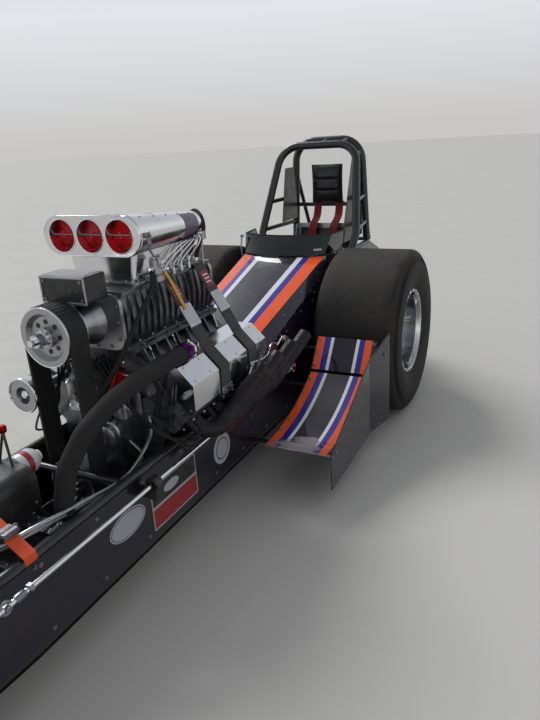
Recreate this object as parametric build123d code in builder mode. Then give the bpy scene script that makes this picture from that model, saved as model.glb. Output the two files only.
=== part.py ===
from build123d import *
import os
from math import cos, radians, sin

os.makedirs("parts", exist_ok=True)

# Millimetres: x to the driver's left, y to the rear, z up from the ground
# A station is a distance behind the rear axle, so what lies ahead of it is negative
WHEELBASE = 5300
NOSE_OVERHANG = 320
TAIL_OVERHANG = 1000
REAR_AXLE_Y = (WHEELBASE + NOSE_OVERHANG + TAIL_OVERHANG) / 2 - TAIL_OVERHANG

# Rear slicks, wheels and axle
REAR_TRACK = 1030
SLICK_RADIUS = 427.5
SLICK_WIDTH = 440
SLICK_TREAD = 400
SLICK_SHOULDER = 28
REAR_RIM_RADIUS = 215
REAR_RIM_WIDTH = 380
REAR_RIM_WALL = 8
REAR_DISC_X = 455
HUB_RADIUS = 62
AXLE_TUBE = 90
AXLE_TUBE_END = 312
DIFF_RADIUS = 150
BRAKE_RADIUS = 140
BRAKE_THICK = 12
BRAKE_X = 350
PAD_GAP = 2
SPIN_GAP = 0.3

# Front wheels, axle and steering
FRONT_TRACK = 1100
FRONT_TYRE_RADIUS = 290
FRONT_TYRE_WIDTH = 80
FRONT_RIM_RADIUS = 228
FRONT_RIM_WIDTH = 62
FRONT_RIM_WALL = 5
FRONT_HUB_RADIUS = 32
FRONT_HUB_WIDTH = 96
FRONT_SPOKES = 18
SPOKE = 5
SPINDLE = 24
BEAM = 50
KINGPIN_X = FRONT_TRACK / 2 - 95
KINGPIN = 20
KNUCKLE_HEIGHT = 110
LINK = 16
LINK_X = 311
LINK_Z = 421
PITMAN_ARM = 130
PITMAN_BACK = -677
PITMAN_SHAFT = 22
TIE_ARM = 130
TIE_Z = 175
PIN = 12
FIT_GAP = 0.05
SEAT_GAP = 0.6

# Frame tubes and body panels
RAIL = 38
BRACE = 25
PANEL = 3
MOTOR_PLATE = 8

# Stations of the frame ahead of the engine bay, evenly spaced
RAIL_FRONT = -WHEELBASE - 100
BAY_FRONT = -2300
BAYS = 7
FRONT_STATIONS = [RAIL_FRONT + i * (BAY_FRONT - RAIL_FRONT) / BAYS for i in range(BAYS + 1)]

# Rails: station, half spacing, lower rail height, upper rail height
RAILS = (
    (RAIL_FRONT, 120, 235, 350),
    (BAY_FRONT, 243, 175, 440),
    (-1040, 243, 175, 440),
    (-870, 243, 175, 530),
    (-110, 243, 175, 743),
    (250, 243, 175, 770),
    (700, 243, 175, 770),
    (900, 243, 240, 690),
)
UPRIGHTS = (*FRONT_STATIONS, -1850, -1250, -870, -480, -150, 150, 700, 900)
UPPER_CROSS = (*FRONT_STATIONS, -1850)
LOWER_CROSS = (*FRONT_STATIONS, -1850, -1000, -480, -150, 240, 540, 700, 900)

# Cowl over the driver's legs: station, height of the edge of its crown, half width of the crown
COWL_FRONT = (-870, 592.5, 208)
COWL_REAR = (-36, 824, 242)
COWL_CROWN = 20
COWL_SHOULDER = 48
COWL_FLANGE = 40

# Windscreen: plan of its band at the foot and at the top as front station, half width, rear station
SCREEN_FOOT = (-110, 243, 205)
SCREEN_HEAD = (-50, 262, 180)
SCREEN_ARC = 75
SCREEN_FLARE = 19
SCREEN_LOW = 796
SCREEN_BEND = 832
SCREEN_TOP = 930
SCREEN_THICK = 4

# Roll cage
CAGE = 45
HOOP_LOW = (306, 305, 858)
HOOP_TOP = (237, 538, 1377)
HOOP_CORNER = 130
REAR_HOOP_BACK = 700
REAR_HOOP_TOP = 1400
REAR_HOOP_HALF = 215

# Engine
CRANK_Z = 380
ENGINE_REAR = -1030
ENGINE_LENGTH = 560
DECK = 265
HEAD_TOP = 378
COVER_TOP = 474
HEAD_HALF = 105
BANK = 45
BLOWER_Z = 905
BLOWER_HALF = 150
BLOWER_LOW = 805
BLOWER_HIGH = 1005
BLOWER_REAR = -1060
BLOWER_LENGTH = 560
BLOWER_RIBS = 15
BLOWER_RIB = 15
BLOWER_BOW = 12
HAT_FRONT = -1560
HAT_LENGTH = 450
HAT_Z = 1177
HAT_HEIGHT = 136
HAT_WIDTH = 410
HAT_BORE = 110
HAT_PITCH = 123
HAT_BASE_HIGH = 1085
CRANK_PULLEY = 84
BLOWER_PULLEY = 92
BELT_WIDTH = 78
BELT_THICK = 9
BELT_BACK = -1790
STARTER_SNOUT = 44
STARTER_SNOUT_LENGTH = 40

# Header pipes
PIPE = 60
PIPE_WALL = 2.5

# Ramps ahead of the slicks
RAMP_IN = 362
RAMP_OUT = 656
RAMP_THICK = 4
RAMP_TOP = (-(SLICK_RADIUS + 37), 512)
RAMP_BREAK = (RAMP_TOP[0] - 107.5, 374)
RAMP_GAP = 14
RAMP_LIP = (-1109, 233)


def y_at(back):
    """The y of a station."""
    return REAR_AXLE_Y + back


def across(back):
    """The upright plane across the car at a station, drawn in x and z."""
    return Plane.XZ.offset(-y_at(back))


def tube(start, end, diameter):
    """A round bar between two points."""
    path = Vector(*end) - Vector(*start)
    with BuildPart() as bar:
        with BuildSketch(Plane(origin=start, z_dir=path)):
            Circle(diameter / 2)
        extrude(amount=path.length)
    return bar.part


def bent_tube(points, corner, diameter, wall=0):
    """A round bar or pipe along straight runs with equal round corners."""
    with BuildPart() as bar:
        with BuildLine() as route:
            FilletPolyline(*points, radius=corner)
        with BuildSketch(Plane(origin=route.line @ 0, z_dir=route.line % 0)):
            Circle(diameter / 2)
            if wall:
                Circle(diameter / 2 - wall, mode=Mode.SUBTRACT)
        sweep()
    return bar.part


def block(low, high):
    """A plain block between two corners."""
    with BuildPart() as solid:
        with BuildSketch(Plane.XY.offset(low[2])):
            with Locations(((low[0] + high[0]) / 2, (low[1] + high[1]) / 2)):
                Rectangle(high[0] - low[0], high[1] - low[1])
        extrude(amount=high[2] - low[2])
    return solid.part


def turned(outline, centre, direction):
    """A solid of revolution: its outline is distance along the axis, radius."""
    with BuildPart() as solid:
        with BuildSketch(Plane(origin=centre, x_dir=direction, z_dir=normal_to(direction))):
            with BuildLine():
                Polyline(*outline, close=True)
            make_face()
        revolve(axis=Axis(centre, direction))
    return solid.part


def normal_to(direction):
    """A direction square to an axis that lies along x, y or z."""
    return (0, 0, 1) if abs(direction[2]) < 0.5 else (0, 1, 0)


def rail_at(back):
    """Half spacing, lower and upper height of the rails at a station."""
    for (b0, *low), (b1, *high) in zip(RAILS, RAILS[1:]):
        if b0 <= back <= b1:
            part_way = (back - b0) / (b1 - b0)
            return [a + (b - a) * part_way for a, b in zip(low, high)]
    raise ValueError("station off the rails")


def save(solid, name):
    solid.label = name
    export_step(solid, f"parts/{name}.step")


def both_sides(name, solid):
    """Writes a left piece and its mirror image on the right."""
    save(solid, f"{name}_left")
    save(mirror(solid, about=Plane.YZ), f"{name}_right")


def pair(name, solid):
    """Writes one node that holds a piece and its mirror image."""
    with BuildPart() as both:
        add(solid)
        mirror(about=Plane.YZ)
    save(both.part, name)


# Side frames: upper and lower rail, uprights and diagonals
with BuildPart() as side_frame:
    for (b0, half0, low0, high0), (b1, half1, low1, high1) in zip(RAILS, RAILS[1:]):
        add(tube((half0, y_at(b0), low0), (half1, y_at(b1), low1), RAIL))
        add(tube((half0, y_at(b0), high0), (half1, y_at(b1), high1), RAIL))
    for half, low, high, back in ((*rail_at(back), back) for back in UPRIGHTS):
        add(tube((half, y_at(back), low), (half, y_at(back), high), BRACE))
    for b0, b1 in zip(UPRIGHTS, UPRIGHTS[1:]):
        if RAIL_FRONT < b0 <= BAY_FRONT or b0 in (-870, -480):
            half0, low0, _ = rail_at(b0)
            half1, _, high1 = rail_at(b1)
            add(tube((half0, y_at(b0), low0), (half1, y_at(b1), high1), BRACE))
    for back, half, low, high in RAILS[1:-1]:
        for height in (low, high):
            with Locations((half, y_at(back), height)):
                Sphere(RAIL / 2)
    # Bearing plate that carries the rear axle tube
    with BuildSketch(Plane.YZ.offset(rail_at(0)[0] - 6)):
        with Locations((y_at(0), SLICK_RADIUS)):
            Circle(AXLE_TUBE / 2 + 45)
            Rectangle(300, 60)
            Circle(AXLE_TUBE / 2, mode=Mode.SUBTRACT)
    extrude(amount=12)
pair("side_frames", side_frame.part)

# Cross tubes between the side frames
with BuildPart() as cross_tubes:
    for backs, height_column in ((UPPER_CROSS, 2), (LOWER_CROSS, 1)):
        for back in backs:
            rails = rail_at(back)
            reach = rails[0] - RAIL / 2 - SEAT_GAP
            height = rails[height_column]
            add(tube((-reach, y_at(back), height), (reach, y_at(back), height), BRACE))
save(cross_tubes.part, "frame_cross_tubes")

# Body side panels, from behind the nose to the tail
PANEL_FRONT = FRONT_STATIONS[-2]
PANEL_LOW = 185
PANEL_GAP = 0.3
PANEL_STATIONS = [PANEL_FRONT] + [row[0] for row in RAILS[1:]]
PANEL_INNER = RAIL / 2 + PANEL_GAP
with BuildPart() as side_panel:
    with BuildSketch(Plane.XY.offset(PANEL_LOW)):
        with BuildLine():
            Polyline(
                *[(rail_at(b)[0] + PANEL_INNER, y_at(b)) for b in PANEL_STATIONS],
                *[(rail_at(b)[0] + PANEL_INNER + PANEL, y_at(b)) for b in reversed(PANEL_STATIONS)],
                close=True,
            )
        make_face()
    extrude(amount=800)
    with BuildSketch(Plane.YZ.offset(100)):
        with BuildLine():
            Polyline(
                *[(y_at(b), rail_at(b)[2]) for b in PANEL_STATIONS],
                (y_at(900), 250), (y_at(700), PANEL_LOW), (y_at(PANEL_FRONT), PANEL_LOW),
                close=True,
            )
        make_face()
    extrude(amount=300, mode=Mode.INTERSECT)
    with BuildSketch(Plane.YZ.offset(100)):
        with Locations((y_at(0), SLICK_RADIUS)):
            Circle(AXLE_TUBE / 2 + 10)
        with Locations((y_at(PITMAN_BACK), LINK_Z + PITMAN_ARM)):
            Circle(PITMAN_SHAFT / 2 + 5)
    extrude(amount=300, mode=Mode.SUBTRACT)
pair("side_panels", side_panel.part)

# Belly pan under the lower rails
PAN_STATIONS = PANEL_STATIONS[:-1]
PAN_LINE = [(b, rail_at(b)[1] - RAIL / 2 - PANEL_GAP) for b in PAN_STATIONS]
with BuildPart() as belly_pan:
    with BuildSketch(Plane.YZ.offset(-400)):
        with BuildLine():
            Polyline(
                *[(y_at(b), z) for b, z in PAN_LINE],
                *[(y_at(b), z - PANEL) for b, z in reversed(PAN_LINE)],
                close=True,
            )
        make_face()
    extrude(amount=800)
    with BuildSketch(Plane.XY):
        with BuildLine():
            Polyline(
                *[(rail_at(b)[0] + RAIL / 2, y_at(b)) for b in PAN_STATIONS],
                *[(-rail_at(b)[0] - RAIL / 2, y_at(b)) for b in reversed(PAN_STATIONS)],
                close=True,
            )
        make_face()
    extrude(amount=500, mode=Mode.INTERSECT)
save(belly_pan.part, "belly_pan")

# Nose shell: station, half width, bottom, shoulder and crest heights
NOSE_REACH = RAIL / 2 + PANEL_GAP + PANEL
NOSE = (
    (PANEL_FRONT, rail_at(PANEL_FRONT)[0] + NOSE_REACH, rail_at(PANEL_FRONT)[1] - NOSE_REACH, 460, 512),
    (RAIL_FRONT, RAILS[0][1] + NOSE_REACH, RAILS[0][2] - NOSE_REACH, 374, 412),
    (-WHEELBASE - NOSE_OVERHANG, 62, 262, 318, 334),
)


def nose_face(back, half, bottom, shoulder, crest, inset):
    """One section of the nose: flat sides and bottom under an arched top."""
    with BuildSketch(across(back)) as face:
        with BuildLine():
            Polyline((half - inset, shoulder), (half - inset, bottom + inset),
                     (inset - half, bottom + inset), (inset - half, shoulder))
            ThreePointArc((inset - half, shoulder), (0, crest - inset), (half - inset, shoulder))
        make_face()
    return face.sketch


with BuildPart() as nose_shell:
    loft(sections=[nose_face(*row, 0) for row in NOSE], ruled=True)
    tip_inset = [NOSE[2][0] + 2 * PANEL, *NOSE[2][1:]]
    loft(sections=[nose_face(*row, PANEL) for row in (NOSE[0], NOSE[1], tip_inset)],
         ruled=True, mode=Mode.SUBTRACT)
    with BuildSketch(Plane.YZ.offset(-200)):
        with Locations((y_at(-WHEELBASE), FRONT_TYRE_RADIUS)):
            RectangleRounded(100, 84, 20)
    extrude(amount=400, mode=Mode.SUBTRACT)
save(nose_shell.part, "nose_shell")

# Cowl: crowned top with a lower shoulder on each side, its rear edge cut round the windscreen
COWL_HALF = rail_at(COWL_FRONT[0])[0] + PANEL_INNER + PANEL


def cowl_face(back, edge, half, inset):
    """One section of the cowl, open below."""
    side = COWL_HALF - inset
    top = edge - inset
    shoulder = edge - COWL_SHOULDER
    with BuildSketch(across(back)) as face:
        with BuildLine():
            ThreePointArc((half, top), (0, top + COWL_CROWN), (-half, top))
            Polyline((-half, top), (-side, shoulder), (-side, shoulder - COWL_FLANGE),
                     (side, shoulder - COWL_FLANGE), (side, shoulder), (half, top))
        make_face()
    return face.sketch


with BuildPart() as cowl:
    loft(sections=[cowl_face(*COWL_FRONT, 0), cowl_face(*COWL_REAR, 0)], ruled=True)
    loft(sections=[cowl_face(*COWL_FRONT, PANEL), cowl_face(*COWL_REAR, PANEL)],
         ruled=True, mode=Mode.SUBTRACT)
    # Lower flange trimmed clear of the side panels
    with BuildSketch(Plane.YZ.offset(-400)):
        with BuildLine():
            Polyline(*[(y_at(b), rail_at(b)[2] + PANEL_GAP) for b in (-1040, -870, -110, 250)],
                     (y_at(250), 0), (y_at(-1040), 0), close=True)
        make_face()
    extrude(amount=800, mode=Mode.SUBTRACT)
    front, half, _ = SCREEN_FOOT
    with BuildSketch(Plane.XY.offset(SCREEN_LOW - 100)):
        with BuildLine():
            arc = ThreePointArc((-half - PANEL_GAP, y_at(front + SCREEN_ARC)), (0, y_at(front) - PANEL_GAP),
                                (half + PANEL_GAP, y_at(front + SCREEN_ARC)))
            Line(arc @ 1, arc @ 0)
        make_face()
    extrude(amount=200, mode=Mode.SUBTRACT)
save(cowl.part, "cowl")

# Windscreen: a band that wraps round the front of the cockpit, upright at its foot and leaning above
def screen_band(level, front, side, rear):
    """One level of the screen, in plan: front arc, then straight sides that flare to the rear."""
    bend = y_at(front + SCREEN_ARC)
    inner = side - SCREEN_THICK
    with BuildSketch(Plane.XY.offset(level)) as face:
        with BuildLine():
            ThreePointArc((-side, bend), (0, y_at(front)), (side, bend))
            Polyline((side, bend), (side + SCREEN_FLARE, y_at(rear)),
                     (inner + SCREEN_FLARE, y_at(rear)), (inner, bend + 2))
            ThreePointArc((inner, bend + 2), (0, y_at(front) + SCREEN_THICK), (-inner, bend + 2))
            Polyline((-inner, bend + 2), (-inner - SCREEN_FLARE, y_at(rear)),
                     (-side - SCREEN_FLARE, y_at(rear)), (-side, bend))
        make_face()
    return face.sketch


with BuildPart() as windscreen:
    extrude(screen_band(SCREEN_LOW, *SCREEN_FOOT), amount=SCREEN_BEND - SCREEN_LOW)
    loft(sections=[screen_band(SCREEN_BEND, *SCREEN_FOOT), screen_band(SCREEN_TOP, *SCREEN_HEAD)], ruled=True)
save(windscreen.part, "windscreen")

# Cockpit sides: the body sheet between the upper rail and the screen
COCKPIT_SIDE_TOP = 804
COCKPIT_SIDE_REAR = 250
with BuildPart() as cockpit_side:
    with BuildSketch(Plane.YZ.offset(rail_at(0)[0] + PANEL_INNER)):
        with BuildLine():
            front = COWL_REAR[0] + PANEL_GAP
            Polyline((y_at(front), rail_at(front)[2] + PANEL_GAP),
                     (y_at(COCKPIT_SIDE_REAR), rail_at(COCKPIT_SIDE_REAR)[2] + PANEL_GAP),
                     (y_at(COCKPIT_SIDE_REAR - 20), COCKPIT_SIDE_TOP), (y_at(front), COCKPIT_SIDE_TOP),
                     close=True)
        make_face()
    extrude(amount=PANEL)
pair("cockpit_sides", cockpit_side.part)

# Roll cage: a leaning front hoop, an upright rear hoop and the bars between
HOOP_FOOT_Z = rail_at(250)[2] + RAIL / 2 + 8


def hoop_point(side, height):
    """A point on the front hoop's leg line, at a height."""
    way = (height - HOOP_LOW[2]) / (HOOP_TOP[2] - HOOP_LOW[2])
    half = HOOP_LOW[0] + (HOOP_TOP[0] - HOOP_LOW[0]) * way
    return (side * half, y_at(HOOP_LOW[1] + (HOOP_TOP[1] - HOOP_LOW[1]) * way), height)


REAR_FOOT_Z = rail_at(REAR_HOOP_BACK)[2] + RAIL / 2 + SEAT_GAP
REAR_HOOP_Y = y_at(REAR_HOOP_BACK)
CAGE_LINKS = (0, 130)
REAR_LEG_LOW = 790
SHOULDER_BAR = (225, REAR_HOOP_BACK, 1010)
TAIL_BAR = (200, 885, 760)
with BuildPart() as roll_cage:
    left_foot = (rail_at(250)[0] + 40, y_at(285), HOOP_FOOT_Z)
    right_foot = (-left_foot[0], left_foot[1], HOOP_FOOT_Z)
    add(bent_tube([left_foot, hoop_point(1, HOOP_LOW[2] + 30), hoop_point(1, HOOP_TOP[2]),
                   hoop_point(-1, HOOP_TOP[2]), hoop_point(-1, HOOP_LOW[2] + 30), right_foot],
                  [40, HOOP_CORNER, HOOP_CORNER, 40], CAGE))
    add(bent_tube([(rail_at(700)[0], REAR_HOOP_Y, REAR_FOOT_Z), (REAR_HOOP_HALF, REAR_HOOP_Y, REAR_HOOP_TOP),
                   (-REAR_HOOP_HALF, REAR_HOOP_Y, REAR_HOOP_TOP),
                   (-rail_at(700)[0], REAR_HOOP_Y, REAR_FOOT_Z)], HOOP_CORNER, CAGE))
    for x in CAGE_LINKS:
        for side in (1, -1):
            add(tube((side * x, hoop_point(1, HOOP_TOP[2])[1], HOOP_TOP[2]),
                     (side * x, REAR_HOOP_Y, REAR_HOOP_TOP), BRACE))
    for side in (1, -1):
        for low, high in ((900, 905), (1060, 1065)):
            part_way = (high - REAR_LEG_LOW) / (REAR_HOOP_TOP - REAR_LEG_LOW)
            rear_half = rail_at(700)[0] - (rail_at(700)[0] - REAR_HOOP_HALF) * part_way
            add(tube(hoop_point(side, low), (side * rear_half, REAR_HOOP_Y, high), BRACE))
        add(tube((side * REAR_HOOP_HALF, REAR_HOOP_Y, REAR_HOOP_TOP - 220),
                 (side * TAIL_BAR[0], y_at(TAIL_BAR[1]), TAIL_BAR[2]), BRACE))
    for half, back, height in (SHOULDER_BAR, TAIL_BAR):
        add(tube((-half, y_at(back), height), (half, y_at(back), height), BRACE))
    # Feet on the upper rails
    for side in (1, -1):
        add(block((min(side * 235, side * 305), y_at(262), HOOP_FOOT_Z - 7.5),
                  (max(side * 235, side * 305), y_at(308), HOOP_FOOT_Z + 4)))
save(roll_cage.part, "roll_cage")

# Head side plates inside the cage: station and height of the corners, the left one down to the cowl
HEAD_PLATE_X = 219.5
HEAD_PLATES = (
    (1, ((300, 828), (677, 828), (677, 1330), (525, 1330))),
    (-1, ((440, 930), (677, 930), (677, 1250), (520, 1250))),
)
with BuildPart() as head_plates:
    for side, corners in HEAD_PLATES:
        with BuildSketch(Plane.YZ.offset(side * HEAD_PLATE_X - PANEL / 2)):
            with BuildLine():
                Polyline(*[(y_at(back), z) for back, z in corners], close=True)
            make_face()
        extrude(amount=PANEL)
save(head_plates.part, "head_plates")

# Seat: a shallow tub with a tall back
SEAT = {"half": 190, "front": 200, "rear": 640, "low": 188.1, "side": 470, "back": 900, "sheet": 6}
with BuildPart() as seat:
    with BuildSketch(Plane.YZ.offset(-SEAT["half"])):
        with BuildLine():
            Polyline((y_at(SEAT["front"]), SEAT["low"]), (y_at(SEAT["rear"] - 80), SEAT["low"]),
                     (y_at(SEAT["rear"]), SEAT["back"]), (y_at(SEAT["rear"] - 60), SEAT["back"]),
                     (y_at(SEAT["rear"] - 160), SEAT["side"]),
                     (y_at(SEAT["front"]), SEAT["side"] - 120), close=True)
        make_face()
    extrude(amount=2 * SEAT["half"])
    with BuildSketch(Plane.YZ.offset(SEAT["sheet"] - SEAT["half"])):
        with BuildLine():
            Polyline((y_at(0), SEAT["low"] + SEAT["sheet"]),
                     (y_at(SEAT["rear"] - 88), SEAT["low"] + SEAT["sheet"]),
                     (y_at(SEAT["rear"] - 8), SEAT["back"] + 30), (y_at(0), SEAT["back"] + 30), close=True)
        make_face()
    extrude(amount=2 * (SEAT["half"] - SEAT["sheet"]), mode=Mode.SUBTRACT)
save(seat.part, "seat")

# Rear axle housing: tube, round centre and pinion nose
PINION = 110
PINION_FRONT = -230
with BuildPart() as axle_housing:
    add(tube((-AXLE_TUBE_END, y_at(0), SLICK_RADIUS), (AXLE_TUBE_END, y_at(0), SLICK_RADIUS), AXLE_TUBE))
    add(turned([(-95, 0), (-95, 70), (-60, DIFF_RADIUS), (60, DIFF_RADIUS), (95, 70), (95, 0)],
               (0, y_at(0), SLICK_RADIUS), (1, 0, 0)))
    add(tube((0, y_at(PINION_FRONT), SLICK_RADIUS), (0, y_at(0), SLICK_RADIUS), PINION))
save(axle_housing.part, "axle_housing")

# Brake calipers over the discs, carried by the ends of the axle tube
with BuildPart() as caliper:
    arc = BRAKE_RADIUS + 12
    with BuildSketch(Plane.YZ.offset(BRAKE_X - 30)):
        with Locations((y_at(-105), SLICK_RADIUS)):
            Rectangle(80, 100)
    extrude(amount=60)
    with BuildSketch(Plane.YZ.offset(BRAKE_X - BRAKE_THICK / 2 - PAD_GAP)):
        with Locations((y_at(0), SLICK_RADIUS)):
            Circle(arc)
    extrude(amount=BRAKE_THICK + 2 * PAD_GAP, mode=Mode.SUBTRACT)
    with BuildSketch(Plane.YZ.offset(AXLE_TUBE_END - 18)):
        with Locations((y_at(-88), SLICK_RADIUS)):
            Rectangle(115, 70)
        with Locations((y_at(0), SLICK_RADIUS)):
            Circle(AXLE_TUBE / 2 + SPIN_GAP, mode=Mode.SUBTRACT)
    extrude(amount=10)
    with BuildSketch(Plane.YZ.offset(AXLE_TUBE_END - 10)):
        with Locations((y_at(-125), SLICK_RADIUS)):
            Rectangle(40, 60)
    extrude(amount=20)
pair("brake_calipers", caliper.part)

# Rear slick: flat tread, round shoulders, bulging wall
SLICK_X = REAR_TRACK / 2
BARREL = REAR_RIM_RADIUS - 4
FLANGE = REAR_RIM_RADIUS + 6
with BuildPart() as slick:
    with BuildSketch(Plane(origin=(SLICK_X, y_at(0), SLICK_RADIUS), x_dir=(1, 0, 0), z_dir=(0, 0, 1))):
        bead = REAR_RIM_WIDTH / 2 - 12 - SEAT_GAP
        tread = SLICK_TREAD / 2
        wall = SLICK_WIDTH / 2
        with BuildLine():
            for side in (1, -1):
                Line((0, SLICK_RADIUS), (side * (tread - SLICK_SHOULDER), SLICK_RADIUS))
                ThreePointArc((side * (tread - SLICK_SHOULDER), SLICK_RADIUS),
                              (side * (tread - 8), SLICK_RADIUS - 10),
                              (side * (tread + 4), SLICK_RADIUS - 34))
                ThreePointArc((side * (tread + 4), SLICK_RADIUS - 34),
                              (side * wall, (SLICK_RADIUS + REAR_RIM_RADIUS) / 2 + 10),
                              (side * (bead + 14), FLANGE + 1))
                Polyline((side * (bead + 14), FLANGE + 1), (side * bead, FLANGE + 1),
                         (side * bead, BARREL + SEAT_GAP))
            Line((-bead, BARREL + SEAT_GAP), (bead, BARREL + SEAT_GAP))
        make_face()
    revolve(axis=Axis((SLICK_X, y_at(0), SLICK_RADIUS), (1, 0, 0)))
pair("rear_slicks", slick.part)

# Rear wheel: barrel with rolled flanges and a dished centre set well inboard
DISH = REAR_DISC_X - SLICK_X
with BuildPart() as rear_wheel:
    half = REAR_RIM_WIDTH / 2
    add(turned([(-half, FLANGE), (-half + 10, FLANGE), (-half + 12, BARREL),
                (half - 12, BARREL), (half - 10, FLANGE), (half, FLANGE),
                (half, BARREL - 4), (half - 20, BARREL - REAR_RIM_WALL),
                (DISH + 60, BARREL - REAR_RIM_WALL - 6), (DISH + 12, 95), (DISH + 12, 0), (DISH, 0),
                (DISH, 98), (DISH + 46, BARREL - REAR_RIM_WALL - 8),
                (-half, BARREL - REAR_RIM_WALL)],
               (SLICK_X, y_at(0), SLICK_RADIUS), (1, 0, 0)))
pair("rear_wheels", rear_wheel.part)

# Rear hub: half shaft, brake disc and drive flange
with BuildPart() as rear_hub:
    start = AXLE_TUBE_END + SPIN_GAP
    disc_in = BRAKE_X - BRAKE_THICK / 2
    disc_out = BRAKE_X + BRAKE_THICK / 2
    flange_in = REAR_DISC_X - 12
    add(turned([(start, 0), (start, 36), (disc_in, 36), (disc_in, BRAKE_RADIUS), (disc_out, BRAKE_RADIUS),
                (disc_out, 40), (flange_in, 40), (flange_in, HUB_RADIUS + 20), (REAR_DISC_X, HUB_RADIUS + 20),
                (REAR_DISC_X, 0)], (0, y_at(0), SLICK_RADIUS), (1, 0, 0)))
pair("rear_hubs", rear_hub.part)

# Front axle beam with kingpin bosses, perches and radius rods
FRONT_Y = y_at(-WHEELBASE)
ROD_BACK = 1000 - WHEELBASE
KING_BOSS = KNUCKLE_HEIGHT / 2 - 16
ROD = 18
ROD_FRONT_X = KINGPIN_X - 155
ROD_REAR_X = 222
ROD_BRACKET = (265, 345)
PERCH_IN = 105
PERCH_OUT = 135
PERCH_HALF = 25
with BuildPart() as front_axle:
    add(tube((-KINGPIN_X, FRONT_Y, FRONT_TYRE_RADIUS), (KINGPIN_X, FRONT_Y, FRONT_TYRE_RADIUS), BEAM))
    for side in (1, -1):
        add(tube((side * KINGPIN_X, FRONT_Y, FRONT_TYRE_RADIUS - KING_BOSS),
                 (side * KINGPIN_X, FRONT_Y, FRONT_TYRE_RADIUS + KING_BOSS), 2 * KINGPIN))
        for front_z, rear_z in ((FRONT_TYRE_RADIUS + ROD, 330), (FRONT_TYRE_RADIUS - ROD, 280)):
            add(tube((side * ROD_FRONT_X, FRONT_Y, front_z), (side * ROD_REAR_X, y_at(ROD_BACK), rear_z), ROD))
        rod_seat = rail_at(ROD_BACK + 20)[0] + NOSE_REACH + SEAT_GAP
        bracket = sorted((side * rod_seat, side * (ROD_REAR_X + 10)))
        add(block((bracket[0], y_at(ROD_BACK - 20), ROD_BRACKET[0]),
                  (bracket[1], y_at(ROD_BACK + 20), ROD_BRACKET[1])))
        perch = sorted((side * PERCH_IN, side * PERCH_OUT))
        perch_top = rail_at(-WHEELBASE)[2] - RAIL / 2 - 2 * SEAT_GAP
        add(block((perch[0], FRONT_Y - PERCH_HALF, FRONT_TYRE_RADIUS),
                  (perch[1], FRONT_Y + PERCH_HALF, perch_top)))
        with Locations((side * KINGPIN_X, FRONT_Y, FRONT_TYRE_RADIUS)):
            Cylinder(KINGPIN / 2 + FIT_GAP, 2 * KING_BOSS + 2, mode=Mode.SUBTRACT)
save(front_axle.part, "front_axle")


# Front knuckles: fork round the kingpin boss, spindle, tie arm, and on the left the drag arm
FORK = 16
FORK_IN = KINGPIN_X + 25
FORK_OUT = KINGPIN_X + 41
FORK_Z = (FRONT_TYRE_RADIUS - KNUCKLE_HEIGHT / 2, FRONT_TYRE_RADIUS + KNUCKLE_HEIGHT / 2)
SPINDLE_END = FRONT_TRACK / 2 + FRONT_HUB_WIDTH / 2 + SPIN_GAP
TIE_Y = y_at(TIE_ARM - WHEELBASE)
TIE_EYE = 20


def knuckle(with_drag_arm):
    with BuildPart() as piece:
        for low in (FORK_Z[0], FORK_Z[1] - FORK + SPIN_GAP):
            add(block((KINGPIN_X, FRONT_Y - 24, low), (FORK_OUT, FRONT_Y + 24, low + FORK - SPIN_GAP)))
            add(tube((KINGPIN_X, FRONT_Y, low), (KINGPIN_X, FRONT_Y, low + FORK - SPIN_GAP), 48))
        add(tube((KINGPIN_X, FRONT_Y, FORK_Z[0]), (KINGPIN_X, FRONT_Y, FORK_Z[1]), KINGPIN))
        add(block((FORK_IN, FRONT_Y - 24, FORK_Z[0]), (FORK_OUT, FRONT_Y + 24, FORK_Z[1])))
        add(tube((FORK_OUT - 6, FRONT_Y, FRONT_TYRE_RADIUS),
                 (SPINDLE_END + 16, FRONT_Y, FRONT_TYRE_RADIUS), SPINDLE))
        add(tube((FORK_OUT, FRONT_Y, FRONT_TYRE_RADIUS),
                 (FRONT_TRACK / 2 - FRONT_HUB_WIDTH / 2 - SPIN_GAP, FRONT_Y, FRONT_TYRE_RADIUS), 40))
        add(tube((SPINDLE_END, FRONT_Y, FRONT_TYRE_RADIUS), (SPINDLE_END + 14, FRONT_Y, FRONT_TYRE_RADIUS), 38))
        eye_top = TIE_Z + TIE_EYE / 2
        add(tube((KINGPIN_X, FRONT_Y + 10, FORK_Z[0] + 2), (KINGPIN_X, TIE_Y, eye_top + 14), 20))
        add(tube((KINGPIN_X, TIE_Y, eye_top + SPIN_GAP), (KINGPIN_X, TIE_Y, eye_top + 26), 26))
        add(tube((KINGPIN_X, TIE_Y, TIE_Z - TIE_EYE / 2 - 4), (KINGPIN_X, TIE_Y, TIE_Z + TIE_EYE), PIN))
        if with_drag_arm:
            top = LINK_Z - 22
            add(tube((KINGPIN_X, FRONT_Y, FORK_Z[1] - 4), (KINGPIN_X, FRONT_Y, top + 6), 30))
            add(tube((KINGPIN_X, FRONT_Y, top - 5), (LINK_X, FRONT_Y, top - 5), 18))
            add(tube((LINK_X, FRONT_Y, top - 15), (LINK_X, FRONT_Y, top + 5), 26))
            add(tube((LINK_X, FRONT_Y, top), (LINK_X, FRONT_Y, LINK_Z + 18), PIN))
    return piece.part


save(knuckle(True), "knuckle_left")
save(mirror(knuckle(False), about=Plane.YZ), "knuckle_right")

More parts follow.
